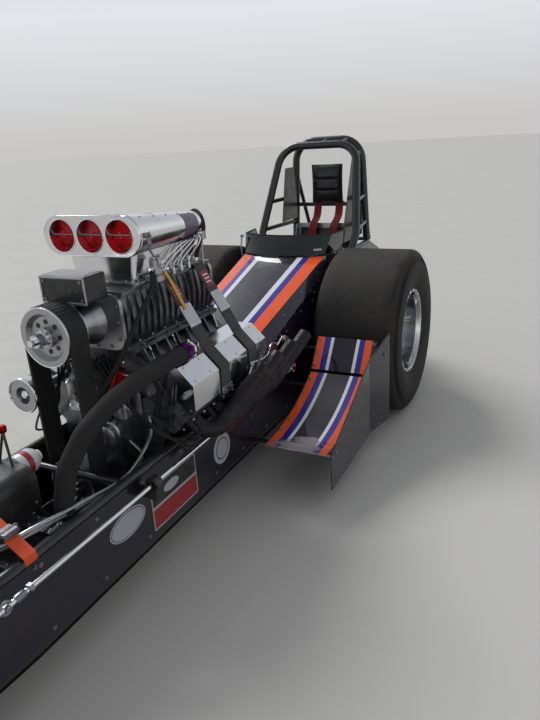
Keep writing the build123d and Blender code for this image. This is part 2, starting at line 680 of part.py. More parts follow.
# Tie rod behind and below the beam, an eye on each tie arm's pin
with BuildPart() as tie_rod:
    add(tube((16 - KINGPIN_X, TIE_Y, TIE_Z), (KINGPIN_X - 16, TIE_Y, TIE_Z), LINK))
    for side in (1, -1):
        with Locations((side * KINGPIN_X, TIE_Y, TIE_Z)):
            Cylinder(18, TIE_EYE)
            Cylinder(PIN / 2 + FIT_GAP, TIE_EYE, mode=Mode.SUBTRACT)
save(tie_rod.part, "tie_rod")

# Pitman arm on the cross shaft, hanging down to the drag link
PITMAN_Y = y_at(PITMAN_BACK)
PITMAN_Z = LINK_Z + PITMAN_ARM
ARM_IN = 283
ARM_OUT = 293
with BuildPart() as pitman_arm:
    with BuildSketch(Plane.YZ.offset(ARM_IN)):
        with BuildLine():
            Polyline((PITMAN_Y - 17, PITMAN_Z), (PITMAN_Y + 17, PITMAN_Z), (PITMAN_Y + 12, LINK_Z),
                     (PITMAN_Y - 12, LINK_Z), close=True)
        make_face()
        with Locations((PITMAN_Y, PITMAN_Z)):
            Circle(22)
        with Locations((PITMAN_Y, LINK_Z)):
            Circle(14)
    extrude(amount=ARM_OUT - ARM_IN)
    add(tube((ARM_IN, PITMAN_Y, LINK_Z), (LINK_X + 14, PITMAN_Y, LINK_Z), PIN))
    add(tube((150, PITMAN_Y, PITMAN_Z), (ARM_OUT + 8, PITMAN_Y, PITMAN_Z), PITMAN_SHAFT))
save(pitman_arm.part, "pitman_arm")

# Drag link along the left side of the body, its rear eye open round the pin
EYE_PLAY = 5
with BuildPart() as drag_link:
    with Locations((LINK_X, PITMAN_Y, LINK_Z)):
        Cylinder(21, 22, rotation=(0, 90, 0))
    with Locations((LINK_X, FRONT_Y, LINK_Z)):
        Cylinder(17, 14)
    add(tube((LINK_X, FRONT_Y + 12, LINK_Z), (LINK_X, PITMAN_Y - 16, LINK_Z), LINK))
    with Locations((LINK_X, PITMAN_Y, LINK_Z)):
        Cylinder(PIN / 2 + EYE_PLAY, 22, rotation=(0, 90, 0), mode=Mode.SUBTRACT)
    with Locations((LINK_X, FRONT_Y, LINK_Z)):
        Cylinder(PIN / 2 + FIT_GAP, 14, mode=Mode.SUBTRACT)
save(drag_link.part, "drag_link")

# Guide that steadies the long drag link, on the left side panel
GUIDE_BACK = -1770
with BuildPart() as link_guide:
    with BuildSketch(across(GUIDE_BACK)):
        with Locations((LINK_X, LINK_Z - 20)):
            Rectangle(30, 70)
        with Locations((LINK_X, LINK_Z)):
            Circle(25)
        with Locations(((LINK_X + 266) / 2, LINK_Z - 40)):
            Rectangle(LINK_X - 266 + 20, 24)
        with Locations((LINK_X, LINK_Z)):
            Circle(LINK / 2 + 7, mode=Mode.SUBTRACT)
    extrude(amount=30)
    with BuildSketch(Plane.YZ.offset(rail_at(GUIDE_BACK)[0] + PANEL_INNER + PANEL - 100)):
        with Locations((y_at(GUIDE_BACK) - 15, LINK_Z - 20)):
            Rectangle(400, 400)
    extrude(amount=100 + SEAT_GAP, mode=Mode.SUBTRACT)
save(link_guide.part, "link_guide")

# Steering box under the cowl, column and butterfly wheel
COLUMN_LOW = Vector(0, y_at(-560), PITMAN_Z)
COLUMN_TOP = Vector(0, y_at(60), 700)
COLUMN_AXIS = (COLUMN_TOP - COLUMN_LOW).normalized()
with BuildPart() as steering_box:
    add(block((-45, PITMAN_Y - 60, PITMAN_Z - 45), (45, PITMAN_Y + 130, PITMAN_Z + 45)))
    add(tube((45, PITMAN_Y, PITMAN_Z), (150 - SPIN_GAP, PITMAN_Y, PITMAN_Z), 40))
    add(tube(tuple(COLUMN_LOW), tuple(COLUMN_TOP - COLUMN_AXIS * 40), 32))
    upright = rail_at(-480)[0] - BRACE / 2 - SEAT_GAP
    add(tube((-upright, y_at(-480), 600), (upright, y_at(-480), 600), BRACE))
    add(block((-14, y_at(-492), 570), (14, y_at(-468), 612)))
save(steering_box.part, "steering_box")

WHEEL_PLANE = Plane(origin=COLUMN_TOP, x_dir=(1, 0, 0), z_dir=COLUMN_AXIS)
with BuildPart() as steering_wheel:
    add(tube(tuple(COLUMN_TOP - COLUMN_AXIS * (40 - SPIN_GAP)), tuple(COLUMN_TOP + COLUMN_AXIS * 10), 24))
    with BuildSketch(WHEEL_PLANE):
        Circle(30)
        Rectangle(190, 26)
        for side in (1, -1):
            with Locations((side * 95, 12)):
                RectangleRounded(26, 110, 12)
    extrude(amount=14)
save(steering_wheel.part, "steering_wheel")

# Front wheels: tyre, and a spoked wheel
WHEEL_X = FRONT_TRACK / 2
WHEEL_CENTRE = (WHEEL_X, FRONT_Y, FRONT_TYRE_RADIUS)
TREAD_HALF = 30
TREAD_ROUND = 13
with BuildPart() as front_tyre:
    with BuildSketch(Plane(origin=WHEEL_CENTRE, x_dir=(1, 0, 0), z_dir=(0, 0, 1))):
        inside = FRONT_RIM_WIDTH / 2 - FRONT_RIM_WALL - SEAT_GAP
        with BuildLine():
            for side in (1, -1):
                ThreePointArc((side * TREAD_HALF, FRONT_TYRE_RADIUS - TREAD_ROUND),
                              (side * FRONT_TYRE_WIDTH / 2, FRONT_TYRE_RADIUS - 34),
                              (side * (inside + 4), FRONT_RIM_RADIUS + 1))
                Polyline((side * (inside + 4), FRONT_RIM_RADIUS + 1), (side * inside, FRONT_RIM_RADIUS + 1),
                         (side * inside, FRONT_RIM_RADIUS - 10))
            ThreePointArc((-TREAD_HALF, FRONT_TYRE_RADIUS - TREAD_ROUND), (0, FRONT_TYRE_RADIUS),
                          (TREAD_HALF, FRONT_TYRE_RADIUS - TREAD_ROUND))
            Line((-inside, FRONT_RIM_RADIUS - 10), (inside, FRONT_RIM_RADIUS - 10))
        make_face()
    revolve(axis=Axis(WHEEL_CENTRE, (1, 0, 0)))
both_sides("front_tyre", front_tyre.part)

with BuildPart() as front_wheel:
    half = FRONT_RIM_WIDTH / 2
    hub_half = FRONT_HUB_WIDTH / 2
    base = FRONT_RIM_RADIUS - 10 - SEAT_GAP
    flank = half - FRONT_RIM_WALL
    well = base - FRONT_RIM_WALL
    add(turned([(-half, FRONT_RIM_RADIUS), (-flank, FRONT_RIM_RADIUS), (-flank, base),
                (flank, base), (flank, FRONT_RIM_RADIUS), (half, FRONT_RIM_RADIUS),
                (half, well), (12, well - 6), (-12, well - 6), (-half, well)],
               WHEEL_CENTRE, (1, 0, 0)))
    waist = FRONT_HUB_RADIUS - 8
    add(turned([(-hub_half, 18), (-hub_half, 24), (6 - hub_half, 38), (12 - hub_half, 38),
                (16 - hub_half, waist), (hub_half - 16, waist), (hub_half - 12, 38),
                (hub_half - 6, 38), (hub_half, 24), (hub_half, 18)],
               WHEEL_CENTRE, (1, 0, 0)))
    add(tube((WHEEL_X - hub_half, FRONT_Y, FRONT_TYRE_RADIUS),
             (WHEEL_X + hub_half, FRONT_Y, FRONT_TYRE_RADIUS), 44))
    for i in range(FRONT_SPOKES):
        turn = radians(360 / FRONT_SPOKES * i)
        flange = (hub_half - 10) * (1 if i % 2 else -1)
        out_y = cos(turn)
        out_z = sin(turn)
        add(tube((WHEEL_X + flange, FRONT_Y + 34 * out_y, FRONT_TYRE_RADIUS + 34 * out_z),
                 (WHEEL_X + 0.1 * flange, FRONT_Y + (base - 8) * out_y, FRONT_TYRE_RADIUS + (base - 8) * out_z),
                 SPOKE))
    with Locations(WHEEL_CENTRE):
        Cylinder(SPINDLE / 2 + FIT_GAP, 2 * hub_half + 2, rotation=(0, 90, 0), mode=Mode.SUBTRACT)
both_sides("front_wheel", front_wheel.part)

# Engine: block with two banks, heads, covers and pan
BANK_X = sin(radians(BANK))
ENGINE_FRONT = ENGINE_REAR - ENGINE_LENGTH


def bank_plane(back):
    """The left bank's own plane: x across the bank and outward, y along its cylinders."""
    return Plane(origin=(0, y_at(back), CRANK_Z), x_dir=(BANK_X, 0, -BANK_X), z_dir=(0, -1, 0))


def on_bank(across_bank, along_bank, back):
    """A point given in the left bank's plane."""
    return ((along_bank + across_bank) * BANK_X, y_at(back), CRANK_Z + (along_bank - across_bank) * BANK_X)


with BuildPart() as engine_block:
    with BuildSketch(across(ENGINE_REAR)):
        with BuildLine():
            Polyline((-135, 310), (135, 310), (150, 400), (70, 520), (-70, 520), (-150, 400), close=True)
        make_face()
    extrude(amount=ENGINE_LENGTH)
    with BuildSketch(bank_plane(ENGINE_REAR)):
        with Locations((0, DECK / 2)):
            Rectangle(2 * HEAD_HALF - 26, DECK)
    extrude(amount=ENGINE_LENGTH)
    mirror(about=Plane.YZ)
    # Oil pan
    with BuildSketch(across(ENGINE_REAR - 30)):
        with BuildLine():
            Polyline((-130, 311), (130, 311), (105, 205), (-105, 205), close=True)
        make_face()
    extrude(amount=ENGINE_LENGTH - 60)
save(engine_block.part, "engine_block")

HEAD_END = 6
with BuildPart() as head:
    with BuildSketch(bank_plane(ENGINE_REAR - HEAD_END)):
        with Locations((0, (DECK + HEAD_TOP) / 2)):
            Rectangle(2 * HEAD_HALF, HEAD_TOP - DECK)
    extrude(amount=ENGINE_LENGTH - 2 * HEAD_END)
pair("cylinder_heads", head.part)

COVER_STEP = 32
COVER_SLOPE = COVER_TOP - HEAD_TOP - COVER_STEP
with BuildPart() as cover:
    with BuildSketch(bank_plane(ENGINE_REAR - HEAD_END)):
        with BuildLine():
            Polyline((-HEAD_HALF, HEAD_TOP), (HEAD_HALF, HEAD_TOP), (HEAD_HALF, HEAD_TOP + COVER_STEP),
                     (HEAD_HALF - COVER_SLOPE, COVER_TOP), (COVER_SLOPE - HEAD_HALF, COVER_TOP),
                     (-HEAD_HALF, HEAD_TOP + COVER_STEP), close=True)
        make_face()
    extrude(amount=ENGINE_LENGTH - 2 * HEAD_END)
pair("valve_covers", cover.part)

# Intake manifold in the valley, seated on the heads' inner faces
HEAD_INNER_LOW = on_bank(-HEAD_HALF, DECK, 0)
HEAD_INNER_HIGH = on_bank(-HEAD_HALF, HEAD_TOP, 0)
RIBS = 8
with BuildPart() as manifold:
    with BuildSketch(across(BLOWER_REAR)):
        with BuildLine():
            Polyline((-HEAD_INNER_LOW[0], HEAD_INNER_LOW[2]), (-HEAD_INNER_HIGH[0], HEAD_INNER_HIGH[2]),
                     (-BLOWER_HALF + 15, BLOWER_LOW - 30), (-BLOWER_HALF - 10, BLOWER_LOW - 14),
                     (-BLOWER_HALF - 10, BLOWER_LOW), (BLOWER_HALF + 10, BLOWER_LOW),
                     (BLOWER_HALF + 10, BLOWER_LOW - 14), (BLOWER_HALF - 15, BLOWER_LOW - 30),
                     (HEAD_INNER_HIGH[0], HEAD_INNER_HIGH[2]), (HEAD_INNER_LOW[0], HEAD_INNER_LOW[2]),
                     close=True)
        make_face()
    extrude(amount=ENGINE_LENGTH - 40)
    for i in range(RIBS):
        back = BLOWER_REAR - 30 - i * (ENGINE_LENGTH - 100) / (RIBS - 1)
        with BuildSketch(across(back)):
            with BuildLine():
                Polyline((2 - HEAD_INNER_HIGH[0], HEAD_INNER_HIGH[2]), (-BLOWER_HALF - 10, BLOWER_LOW - 14),
                         (BLOWER_HALF + 10, BLOWER_LOW - 14), (HEAD_INNER_HIGH[0] - 2, HEAD_INNER_HIGH[2]),
                         close=True)
            make_face()
        extrude(amount=8)
save(manifold.part, "intake_manifold")

# Blower case: bowed sides with rounded upright ribs between two flanges
def blower_face(back, bow):
    """One section of the case: level top and bottom, and sides that bow out."""
    half = BLOWER_HALF - 2 * BLOWER_BOW
    low = BLOWER_LOW + 8
    high = BLOWER_HIGH - 8
    with BuildSketch(across(back)) as face:
        with BuildLine():
            ThreePointArc((half, low), (half + bow, (low + high) / 2), (half, high))
            Line((half, high), (-half, high))
            ThreePointArc((-half, high), (-half - bow, (low + high) / 2), (-half, low))
            Line((-half, low), (half, low))
        make_face()
    return face.sketch


with BuildPart() as blower:
    extrude(blower_face(BLOWER_REAR, BLOWER_BOW), amount=BLOWER_LENGTH)
    for i in range(BLOWER_RIBS):
        pitch = (BLOWER_LENGTH - BLOWER_RIB - 20) / (BLOWER_RIBS - 1)
        extrude(blower_face(BLOWER_REAR - 10 - i * pitch, 2 * BLOWER_BOW - 2), amount=BLOWER_RIB)
    with BuildSketch(across(BLOWER_REAR)):
        with Locations((0, BLOWER_LOW + 6), (0, BLOWER_HIGH - 6)):
            Rectangle(2 * BLOWER_HALF, 12)
    extrude(amount=BLOWER_LENGTH)
save(blower.part, "blower_case")

# Blower end plates and the drive snout
PLATE = 16
BLOWER_FRONT = BLOWER_REAR - BLOWER_LENGTH
with BuildPart() as end_plates:
    for back in (BLOWER_REAR + PLATE, BLOWER_FRONT):
        with BuildSketch(across(back)):
            with Locations((0, (BLOWER_LOW + BLOWER_HIGH) / 2)):
                RectangleRounded(2 * BLOWER_HALF - 8, BLOWER_HIGH - BLOWER_LOW - 8, 40)
        extrude(amount=PLATE)
    front = y_at(BLOWER_FRONT - PLATE)
    belt_rear = y_at(BELT_BACK) + BELT_WIDTH / 2
    add(turned([(-1, 0), (-1, 85), (30, 70), (front - belt_rear - 6, 48), (front - belt_rear - 6, 0)],
               (0, front, BLOWER_Z), (0, -1, 0)))
save(end_plates.part, "blower_plates")

# Black box over the drive nose, on the front plate
DRIVE_BOX = {"left": 105, "right": -75, "low": 993, "high": 1080, "front": -1740}
with BuildPart() as drive_box:
    add(block((DRIVE_BOX["right"], y_at(DRIVE_BOX["front"]), DRIVE_BOX["low"]),
              (DRIVE_BOX["left"], y_at(BLOWER_FRONT - PLATE) - SEAT_GAP, DRIVE_BOX["high"])))
    fillet(drive_box.edges().filter_by(Axis.Y), 10)
save(drive_box.part, "drive_box")

# Toothed belt drive: crank and blower pulleys, the belt round them, and an idler against its right run
IDLER_RADIUS = 50
IDLER_Z = 690
with BuildPart() as pulleys:
    for z, radius in ((CRANK_Z, CRANK_PULLEY), (BLOWER_Z, BLOWER_PULLEY)):
        add(turned([(-6, 0), (-6, radius + 8), (-1, radius + 8), (-1, radius), (BELT_WIDTH + 1, radius),
                    (BELT_WIDTH + 1, radius + 8), (BELT_WIDTH + 6, radius + 8), (BELT_WIDTH + 6, radius - 14),
                    (BELT_WIDTH - 10, radius - 26), (BELT_WIDTH - 10, 34), (BELT_WIDTH + 8, 34),
                    (BELT_WIDTH + 8, 0)],
                   (0, belt_rear, z), (0, -1, 0)))
    add(tube((0, y_at(ENGINE_FRONT - MOTOR_PLATE - 70) - SEAT_GAP, CRANK_Z), (0, belt_rear, CRANK_Z), 60))
    with Locations((0, belt_rear - BELT_WIDTH - 8 - STARTER_SNOUT_LENGTH / 2, BLOWER_Z)):
        Cylinder(STARTER_SNOUT / 2, STARTER_SNOUT_LENGTH, rotation=(90, 0, 0))
    # Idler on an arm that is bolted to the motor plate
    run_x = BLOWER_PULLEY + (CRANK_PULLEY - BLOWER_PULLEY) * (BLOWER_Z - IDLER_Z) / (BLOWER_Z - CRANK_Z)
    idler_x = -run_x - BELT_THICK - IDLER_RADIUS - 1
    add(turned([(-6, 0), (-6, IDLER_RADIUS + 12), (-1, IDLER_RADIUS + 12), (-1, IDLER_RADIUS),
                (BELT_WIDTH + 1, IDLER_RADIUS), (BELT_WIDTH + 1, IDLER_RADIUS + 12),
                (BELT_WIDTH + 6, IDLER_RADIUS + 12), (BELT_WIDTH + 6, 30), (BELT_WIDTH - 20, 24),
                (BELT_WIDTH - 20, 0)],
               (idler_x, belt_rear, IDLER_Z), (0, -1, 0)))
    arm_y = y_at(ENGINE_FRONT - MOTOR_PLATE) - SEAT_GAP
    add(tube((idler_x, arm_y, IDLER_Z), (idler_x, belt_rear, IDLER_Z), 30))
    add(block((idler_x - 25, arm_y - 14, 540), (idler_x + 25, arm_y, IDLER_Z + 25)))
save(pulleys.part, "belt_pulleys")

with BuildPart() as belt:
    with BuildSketch(Plane.XZ.offset(-belt_rear)):
        with Locations((0, CRANK_Z)):
            Circle(CRANK_PULLEY + BELT_THICK)
        with Locations((0, BLOWER_Z)):
            Circle(BLOWER_PULLEY + BELT_THICK)
        make_hull()
    extrude(amount=BELT_WIDTH)
    with BuildSketch(Plane.XZ.offset(-belt_rear)):
        with Locations((0, CRANK_Z)):
            Circle(CRANK_PULLEY + 0.1)
        with Locations((0, BLOWER_Z)):
            Circle(BLOWER_PULLEY + 0.1)
        make_hull()
    extrude(amount=BELT_WIDTH, mode=Mode.SUBTRACT)
save(belt.part, "blower_belt")

# Injector hat: base, and a body with three bores behind an oval mouth
HAT_REAR = HAT_FRONT + HAT_LENGTH
HAT_RIM = 12
with BuildPart() as hat:
    with BuildSketch(Plane.XY.offset(BLOWER_HIGH)):
        with Locations((0, y_at(HAT_FRONT + 230))):
            RectangleRounded(250, 380, 20)
    with BuildSketch(Plane.XY.offset(HAT_BASE_HIGH + 25)):
        with Locations((0, y_at(HAT_FRONT + 235))):
            RectangleRounded(290, 400, 20)
    loft()
    with BuildSketch(across(HAT_REAR)):
        with Locations((0, HAT_Z - 22)):
            SlotOverall(HAT_WIDTH - 90, HAT_HEIGHT - 42)
    with BuildSketch(across(HAT_FRONT + HAT_RIM)):
        with Locations((0, HAT_Z)):
            SlotOverall(HAT_WIDTH, HAT_HEIGHT)
    loft()
    with BuildSketch(across(HAT_FRONT + HAT_RIM)):
        with Locations((0, HAT_Z)):
            SlotOverall(HAT_WIDTH, HAT_HEIGHT)
    extrude(amount=HAT_RIM)
    with BuildSketch(across(HAT_FRONT)):
        with Locations(*[(i * HAT_PITCH, HAT_Z) for i in (-1, 0, 1)]):
            Circle(HAT_BORE / 2)
    extrude(amount=-170, mode=Mode.SUBTRACT)
save(hat.part, "injector_hat")

with BuildPart() as throttles:
    for i in (-1, 0, 1):
        with Locations((i * HAT_PITCH, y_at(HAT_FRONT + 22), HAT_Z)):
            Cylinder(HAT_BORE / 2 - SEAT_GAP, 3, rotation=(90, 0, 0))
            Cylinder(5, HAT_BORE - 2 * SEAT_GAP, rotation=(0, 90, 0))
save(throttles.part, "throttle_plates")

# Zoomie pipes: station of the port, then out, back and up in its own lane
PORTS = [ENGINE_REAR - 70 - 140 * i for i in range(4)]
with BuildPart() as header:
    for port in PORTS:
        start = on_bank(HEAD_HALF, 322, port)
        add(bent_tube([on_bank(HEAD_HALF + 5, 322, port), on_bank(HEAD_HALF + 100, 322, port),
                       (430, y_at(port + 320), 625)], 60, PIPE, PIPE_WALL))
        with BuildSketch(Plane(origin=start, x_dir=(0, 1, 0), z_dir=(BANK_X, 0, -BANK_X))):
            RectangleRounded(88, 80, 12)
            Circle(PIPE / 2 - PIPE_WALL, mode=Mode.SUBTRACT)
        extrude(amount=8)
pair("headers", header.part)

# Restraint straps from the blower's top flange down over the valve covers
STRAP_WIDTH = 62
STRAP_THICK = 4
STRAPS = (-1375, -1160)
COVER_INNER = on_bank(COVER_SLOPE - HEAD_HALF, COVER_TOP, 0)
COVER_OUTER = on_bank(HEAD_HALF - COVER_SLOPE, COVER_TOP, 0)
COVER_STEP_EDGE = on_bank(HEAD_HALF, HEAD_TOP + COVER_STEP, 0)
STRAP_LIFT = STRAP_THICK / 2 + 1
with BuildPart() as straps:
    for back in STRAPS:
        with BuildSketch(across(back + STRAP_WIDTH / 2)):
            with BuildLine():
                Polyline((BLOWER_HALF - 20, BLOWER_HIGH + STRAP_LIFT),
                         (BLOWER_HALF + 6, BLOWER_HIGH + STRAP_LIFT),
                         (COVER_INNER[0] + 2, COVER_INNER[2] + STRAP_LIFT + 1),
                         (COVER_OUTER[0] + STRAP_LIFT, COVER_OUTER[2] + 2),
                         (COVER_STEP_EDGE[0] + STRAP_LIFT, COVER_STEP_EDGE[2] - 1),
                         (COVER_STEP_EDGE[0] - 14, COVER_STEP_EDGE[2] - 21))
            trace(line_width=STRAP_THICK)
        extrude(amount=STRAP_WIDTH)
    mirror(about=Plane.YZ)
save(straps.part, "blower_straps")

# Motor plate between the rails, with a wing over the front of each head
PLATE_HALF = rail_at(ENGINE_FRONT)[0] - RAIL / 2 - SEAT_GAP
MOTOR_PLATE_LINE = ((PLATE_HALF, 330), (PLATE_HALF, 480), (208, 513), (260, 525), (290, 679), (119, 605))
with BuildPart() as motor_plate:
    with BuildSketch(across(ENGINE_FRONT)):
        with BuildLine():
            Polyline(*MOTOR_PLATE_LINE, *[(-x, z) for x, z in reversed(MOTOR_PLATE_LINE)], close=True)
        make_face()
    extrude(amount=MOTOR_PLATE)
save(motor_plate.part, "motor_plate")

# Front cover and magneto
COVER_FRONT = y_at(ENGINE_FRONT - MOTOR_PLATE)
with BuildPart() as front_cover:
    with BuildSketch(across(ENGINE_FRONT - MOTOR_PLATE)):
        with BuildLine():
            Polyline((-95, 320), (95, 320), (80, 560), (-80, 560), close=True)
        make_face()
    extrude(amount=70)
    add(turned([(-1, 0), (-1, 42), (30, 42), (38, 56), (62, 56), (62, 0)],
               (0, COVER_FRONT - 69, 500), (0, -1, 0)))
save(front_cover.part, "front_cover")

with BuildPart() as magneto:
    add(turned([(0, 0), (0, 34), (60, 34), (70, 62), (150, 62), (170, 48), (170, 0)],
               (-30, COVER_FRONT - 52, 560 + SEAT_GAP), (0, 0, 1)))
save(magneto.part, "magneto")

# Bell housing and firewall
with BuildPart() as bell_housing:
    add(turned([(0, 0), (0, 185), (20, 185), (120, 130), (140, 130), (140, 0)],
               (0, y_at(ENGINE_REAR) + SEAT_GAP, CRANK_Z), (0, 1, 0)))
save(bell_housing.part, "bell_housing")

FIREWALL_BACK = -872
FIREWALL_LOW = 180
FIREWALL_HIGH = 540
with BuildPart() as firewall:
    firewall_half = rail_at(FIREWALL_BACK)[0] - RAIL / 2 - SEAT_GAP
    with BuildSketch(across(FIREWALL_BACK)):
        with Locations((0, (FIREWALL_LOW + FIREWALL_HIGH) / 2)):
            Rectangle(2 * firewall_half, FIREWALL_HIGH - FIREWALL_LOW)
        with Locations((0, CRANK_Z)):
            Circle(60, mode=Mode.SUBTRACT)
    extrude(amount=PANEL)
save(firewall.part, "firewall")

# Fuel tank on a tray across the rails, ahead of the engine
TANK = {"half": 105, "rear": -2060, "front": -2330, "high": 590}
TRAY_Z = rail_at(TANK["rear"])[2] + RAIL / 2 + SEAT_GAP
with BuildPart() as fuel_tank:
    add(block((-TANK["half"], y_at(TANK["front"]), TRAY_Z), (TANK["half"], y_at(TANK["rear"]), TANK["high"])))
    fillet(fuel_tank.edges().filter_by(Axis.Y).group_by(Axis.Z)[-1], 40)
    tray_half = rail_at(TANK["rear"])[0]
    add(block((-tray_half, y_at(-2170), TRAY_Z), (tray_half, y_at(-2110), TRAY_Z + PANEL)))
save(fuel_tank.part, "fuel_tank")

# Breather hose from the left valve cover forward and down beside the rail: x, station, z
HOSE = 60
HOSE_BEND = 100
HOSE_Z = COVER_INNER[2] + HOSE / 2 + SEAT_GAP
HOSE_END_X = rail_at(TANK["rear"])[0] - RAIL / 2 - HOSE / 2 - SEAT_GAP
HOSE_LINE = (
    (290, -1462, HOSE_Z), (290, -1740, HOSE_Z), (284, -1890, 752), (252, -1990, 690),
    (212, -2042, 590), (HOSE_END_X, -2062, 480), (HOSE_END_X, -2062, 330),
)
with BuildPart() as hose:
    add(bent_tube([(x, y_at(back), z) for x, back, z in HOSE_LINE], HOSE_BEND, HOSE))
save(hose.part, "breather_hose")

# Ramps ahead of the slicks, on the left and mirrored
RAMP_MID = (-800, 272)
PLATE_FRONT = -1112
PLATE_REAR = -(SLICK_RADIUS + 20.5)
PLATE_LIP = 232
PLATE_PEAK = 548
PLATE_LINE = ((RAMP_OUT + 4, PLATE_FRONT), (RAMP_OUT + 10, RAMP_BREAK[0] - 48), (712, PLATE_REAR))
STRUT = 20
with BuildPart() as ramp:
    lip = (y_at(RAMP_LIP[0]), RAMP_LIP[1])
    lip_under = (lip[0], RAMP_LIP[1] - RAMP_THICK)
    edge = (y_at(RAMP_BREAK[0]), RAMP_BREAK[1])
    with BuildSketch(Plane.YZ.offset(RAMP_IN)):
        with BuildLine():
            Polyline((y_at(RAMP_TOP[0]), RAMP_TOP[1]), (edge[0] + 4, edge[1] + 6), (edge[0] + 8, edge[1] + 3),
                     (y_at(RAMP_TOP[0] + 4), RAMP_TOP[1] - 3), close=True)
        make_face()
        with BuildLine():
            lower = ThreePointArc((edge[0] - 6, edge[1] - 6), (y_at(RAMP_MID[0]), RAMP_MID[1]), lip)
            Line(lower @ 1, lip_under)
            back_arc = ThreePointArc(lip_under, (y_at(RAMP_MID[0]), RAMP_MID[1] - RAMP_THICK),
                                     (edge[0] - 2, edge[1] - 9))
            Line(back_arc @ 1, lower @ 0)
        make_face()
    extrude(amount=RAMP_OUT + 8 - RAMP_IN)
    with BuildSketch(Plane.XY.offset(70)):
        with BuildLine():
            Polyline(*[(x, y_at(b)) for x, b in PLATE_LINE],
                     *[(x + 4, y_at(b)) for x, b in reversed(PLATE_LINE)], close=True)
        make_face()
    extrude(amount=520)
    with BuildSketch(Plane.YZ.offset(300)):
        with BuildLine():
            Polyline((y_at(PLATE_REAR), PLATE_PEAK), (y_at(PLATE_FRONT), PLATE_LIP), (y_at(PLATE_FRONT), 82),
                     (y_at(PLATE_REAR), 118), close=True)
        make_face()
        with BuildLine():
            Polyline((y_at(PLATE_FRONT), PLATE_LIP), (y_at(PLATE_REAR), PLATE_PEAK), (y_at(PLATE_REAR), 200),
                     close=True)
        make_face()
    extrude(amount=500, mode=Mode.INTERSECT)
    # Struts from the body's side to the outer plate, under the sheets
    for back, z, plate_x in ((-1060, 224, 662), (RAMP_BREAK[0] - 68, 323, 668), (PLATE_REAR - 43, 460, 702)):
        seat_x = rail_at(back)[0] + PANEL_INNER + PANEL + SEAT_GAP
        add(tube((seat_x, y_at(back), z), (plate_x, y_at(back), z), STRUT))
pair("ramps", ramp.part)

# Tail: parachute pack on its shelf, and the push bar
with BuildPart() as chute_pack:
    with BuildSketch(Plane.XY.offset(467.6)):
        with Locations((0, y_at(835))):
            RectangleRounded(250, 190, 40)
    extrude(amount=260)
save(chute_pack.part, "parachute_pack")

TETHER_BACK = 950
TETHER_Z = 400
TETHER_BORE = 9
TETHER_THICK = 12
SHELF_HALF = 229.9
SHELF_LOW = 455
PUSH_BAR_Z = 300
with BuildPart() as tail_frame:
    add(block((-SHELF_HALF, y_at(735), SHELF_LOW), (SHELF_HALF, y_at(930), SHELF_LOW + 12)))
    reach = TAIL_OVERHANG - RAIL / 2
    bar_half = rail_at(900)[0]
    bar_root = y_at(900) + BRACE / 2 + SEAT_GAP
    add(bent_tube([(bar_half, bar_root, PUSH_BAR_Z), (bar_half, y_at(reach), PUSH_BAR_Z),
                   (-bar_half, y_at(reach), PUSH_BAR_Z), (-bar_half, bar_root, PUSH_BAR_Z)], 60, RAIL))
    with BuildSketch(Plane.YZ.offset(-TETHER_THICK / 2)):
        with BuildLine():
            Polyline((y_at(880), SHELF_LOW), (y_at(930), SHELF_LOW), (y_at(TETHER_BACK), TETHER_Z),
                     (y_at(TETHER_BACK - 40), TETHER_Z - 18), close=True)
        make_face()
        with Locations((y_at(TETHER_BACK - 4), TETHER_Z - 2)):
            Circle(22)
            Circle(TETHER_BORE, mode=Mode.SUBTRACT)
    extrude(amount=TETHER_THICK)
save(tail_frame.part, "tail_frame")
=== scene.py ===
import itertools
import math

import bmesh
import bpy
from mathutils import Matrix, Vector, noise


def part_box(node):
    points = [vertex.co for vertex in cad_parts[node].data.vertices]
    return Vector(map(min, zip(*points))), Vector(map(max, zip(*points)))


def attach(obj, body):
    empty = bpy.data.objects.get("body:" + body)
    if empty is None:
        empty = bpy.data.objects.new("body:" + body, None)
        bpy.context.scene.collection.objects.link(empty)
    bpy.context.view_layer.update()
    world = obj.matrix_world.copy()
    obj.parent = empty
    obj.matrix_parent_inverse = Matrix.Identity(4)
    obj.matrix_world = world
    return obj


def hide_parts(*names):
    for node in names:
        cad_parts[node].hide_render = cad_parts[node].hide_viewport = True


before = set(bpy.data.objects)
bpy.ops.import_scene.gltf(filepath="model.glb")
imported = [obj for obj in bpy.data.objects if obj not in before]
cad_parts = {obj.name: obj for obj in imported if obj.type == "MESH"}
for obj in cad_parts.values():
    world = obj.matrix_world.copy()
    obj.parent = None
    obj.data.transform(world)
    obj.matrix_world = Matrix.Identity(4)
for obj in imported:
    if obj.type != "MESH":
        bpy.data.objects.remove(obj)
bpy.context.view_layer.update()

# Places are in millimetres from the ground under the rear axle: x to the left, then back, then up
MM = 0.001
LEFT, REAR, UP = Vector((1, 0, 0)), Vector((0, 1, 0)), Vector((0, 0, 1))
FRONT = -REAR
ORIGIN = REAR * sum(corner.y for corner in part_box("rear_slicks")) / 2


def corners_of(node):
    return [(corner - ORIGIN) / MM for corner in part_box(node)]


def middle(node):
    low, high = corners_of(node)
    return (low + high) / 2


AXLE_Z = middle("rear_slicks").z

# Camera, fitted to the photograph's 540 by 720 frame
CAMERA_PLACE = Vector((1487.1, -3215.9, 1469.5))
CAMERA_YAW = math.radians(26.938)
CAMERA_PITCH = math.radians(19.778)
CAMERA_ROLL = math.radians(3.701)
FOCAL_PIXELS = 633.36
PHOTO_HEIGHT = 720
SENSOR = 36


def add_to_scene(thing):
    bpy.context.scene.collection.objects.link(thing)
    return thing


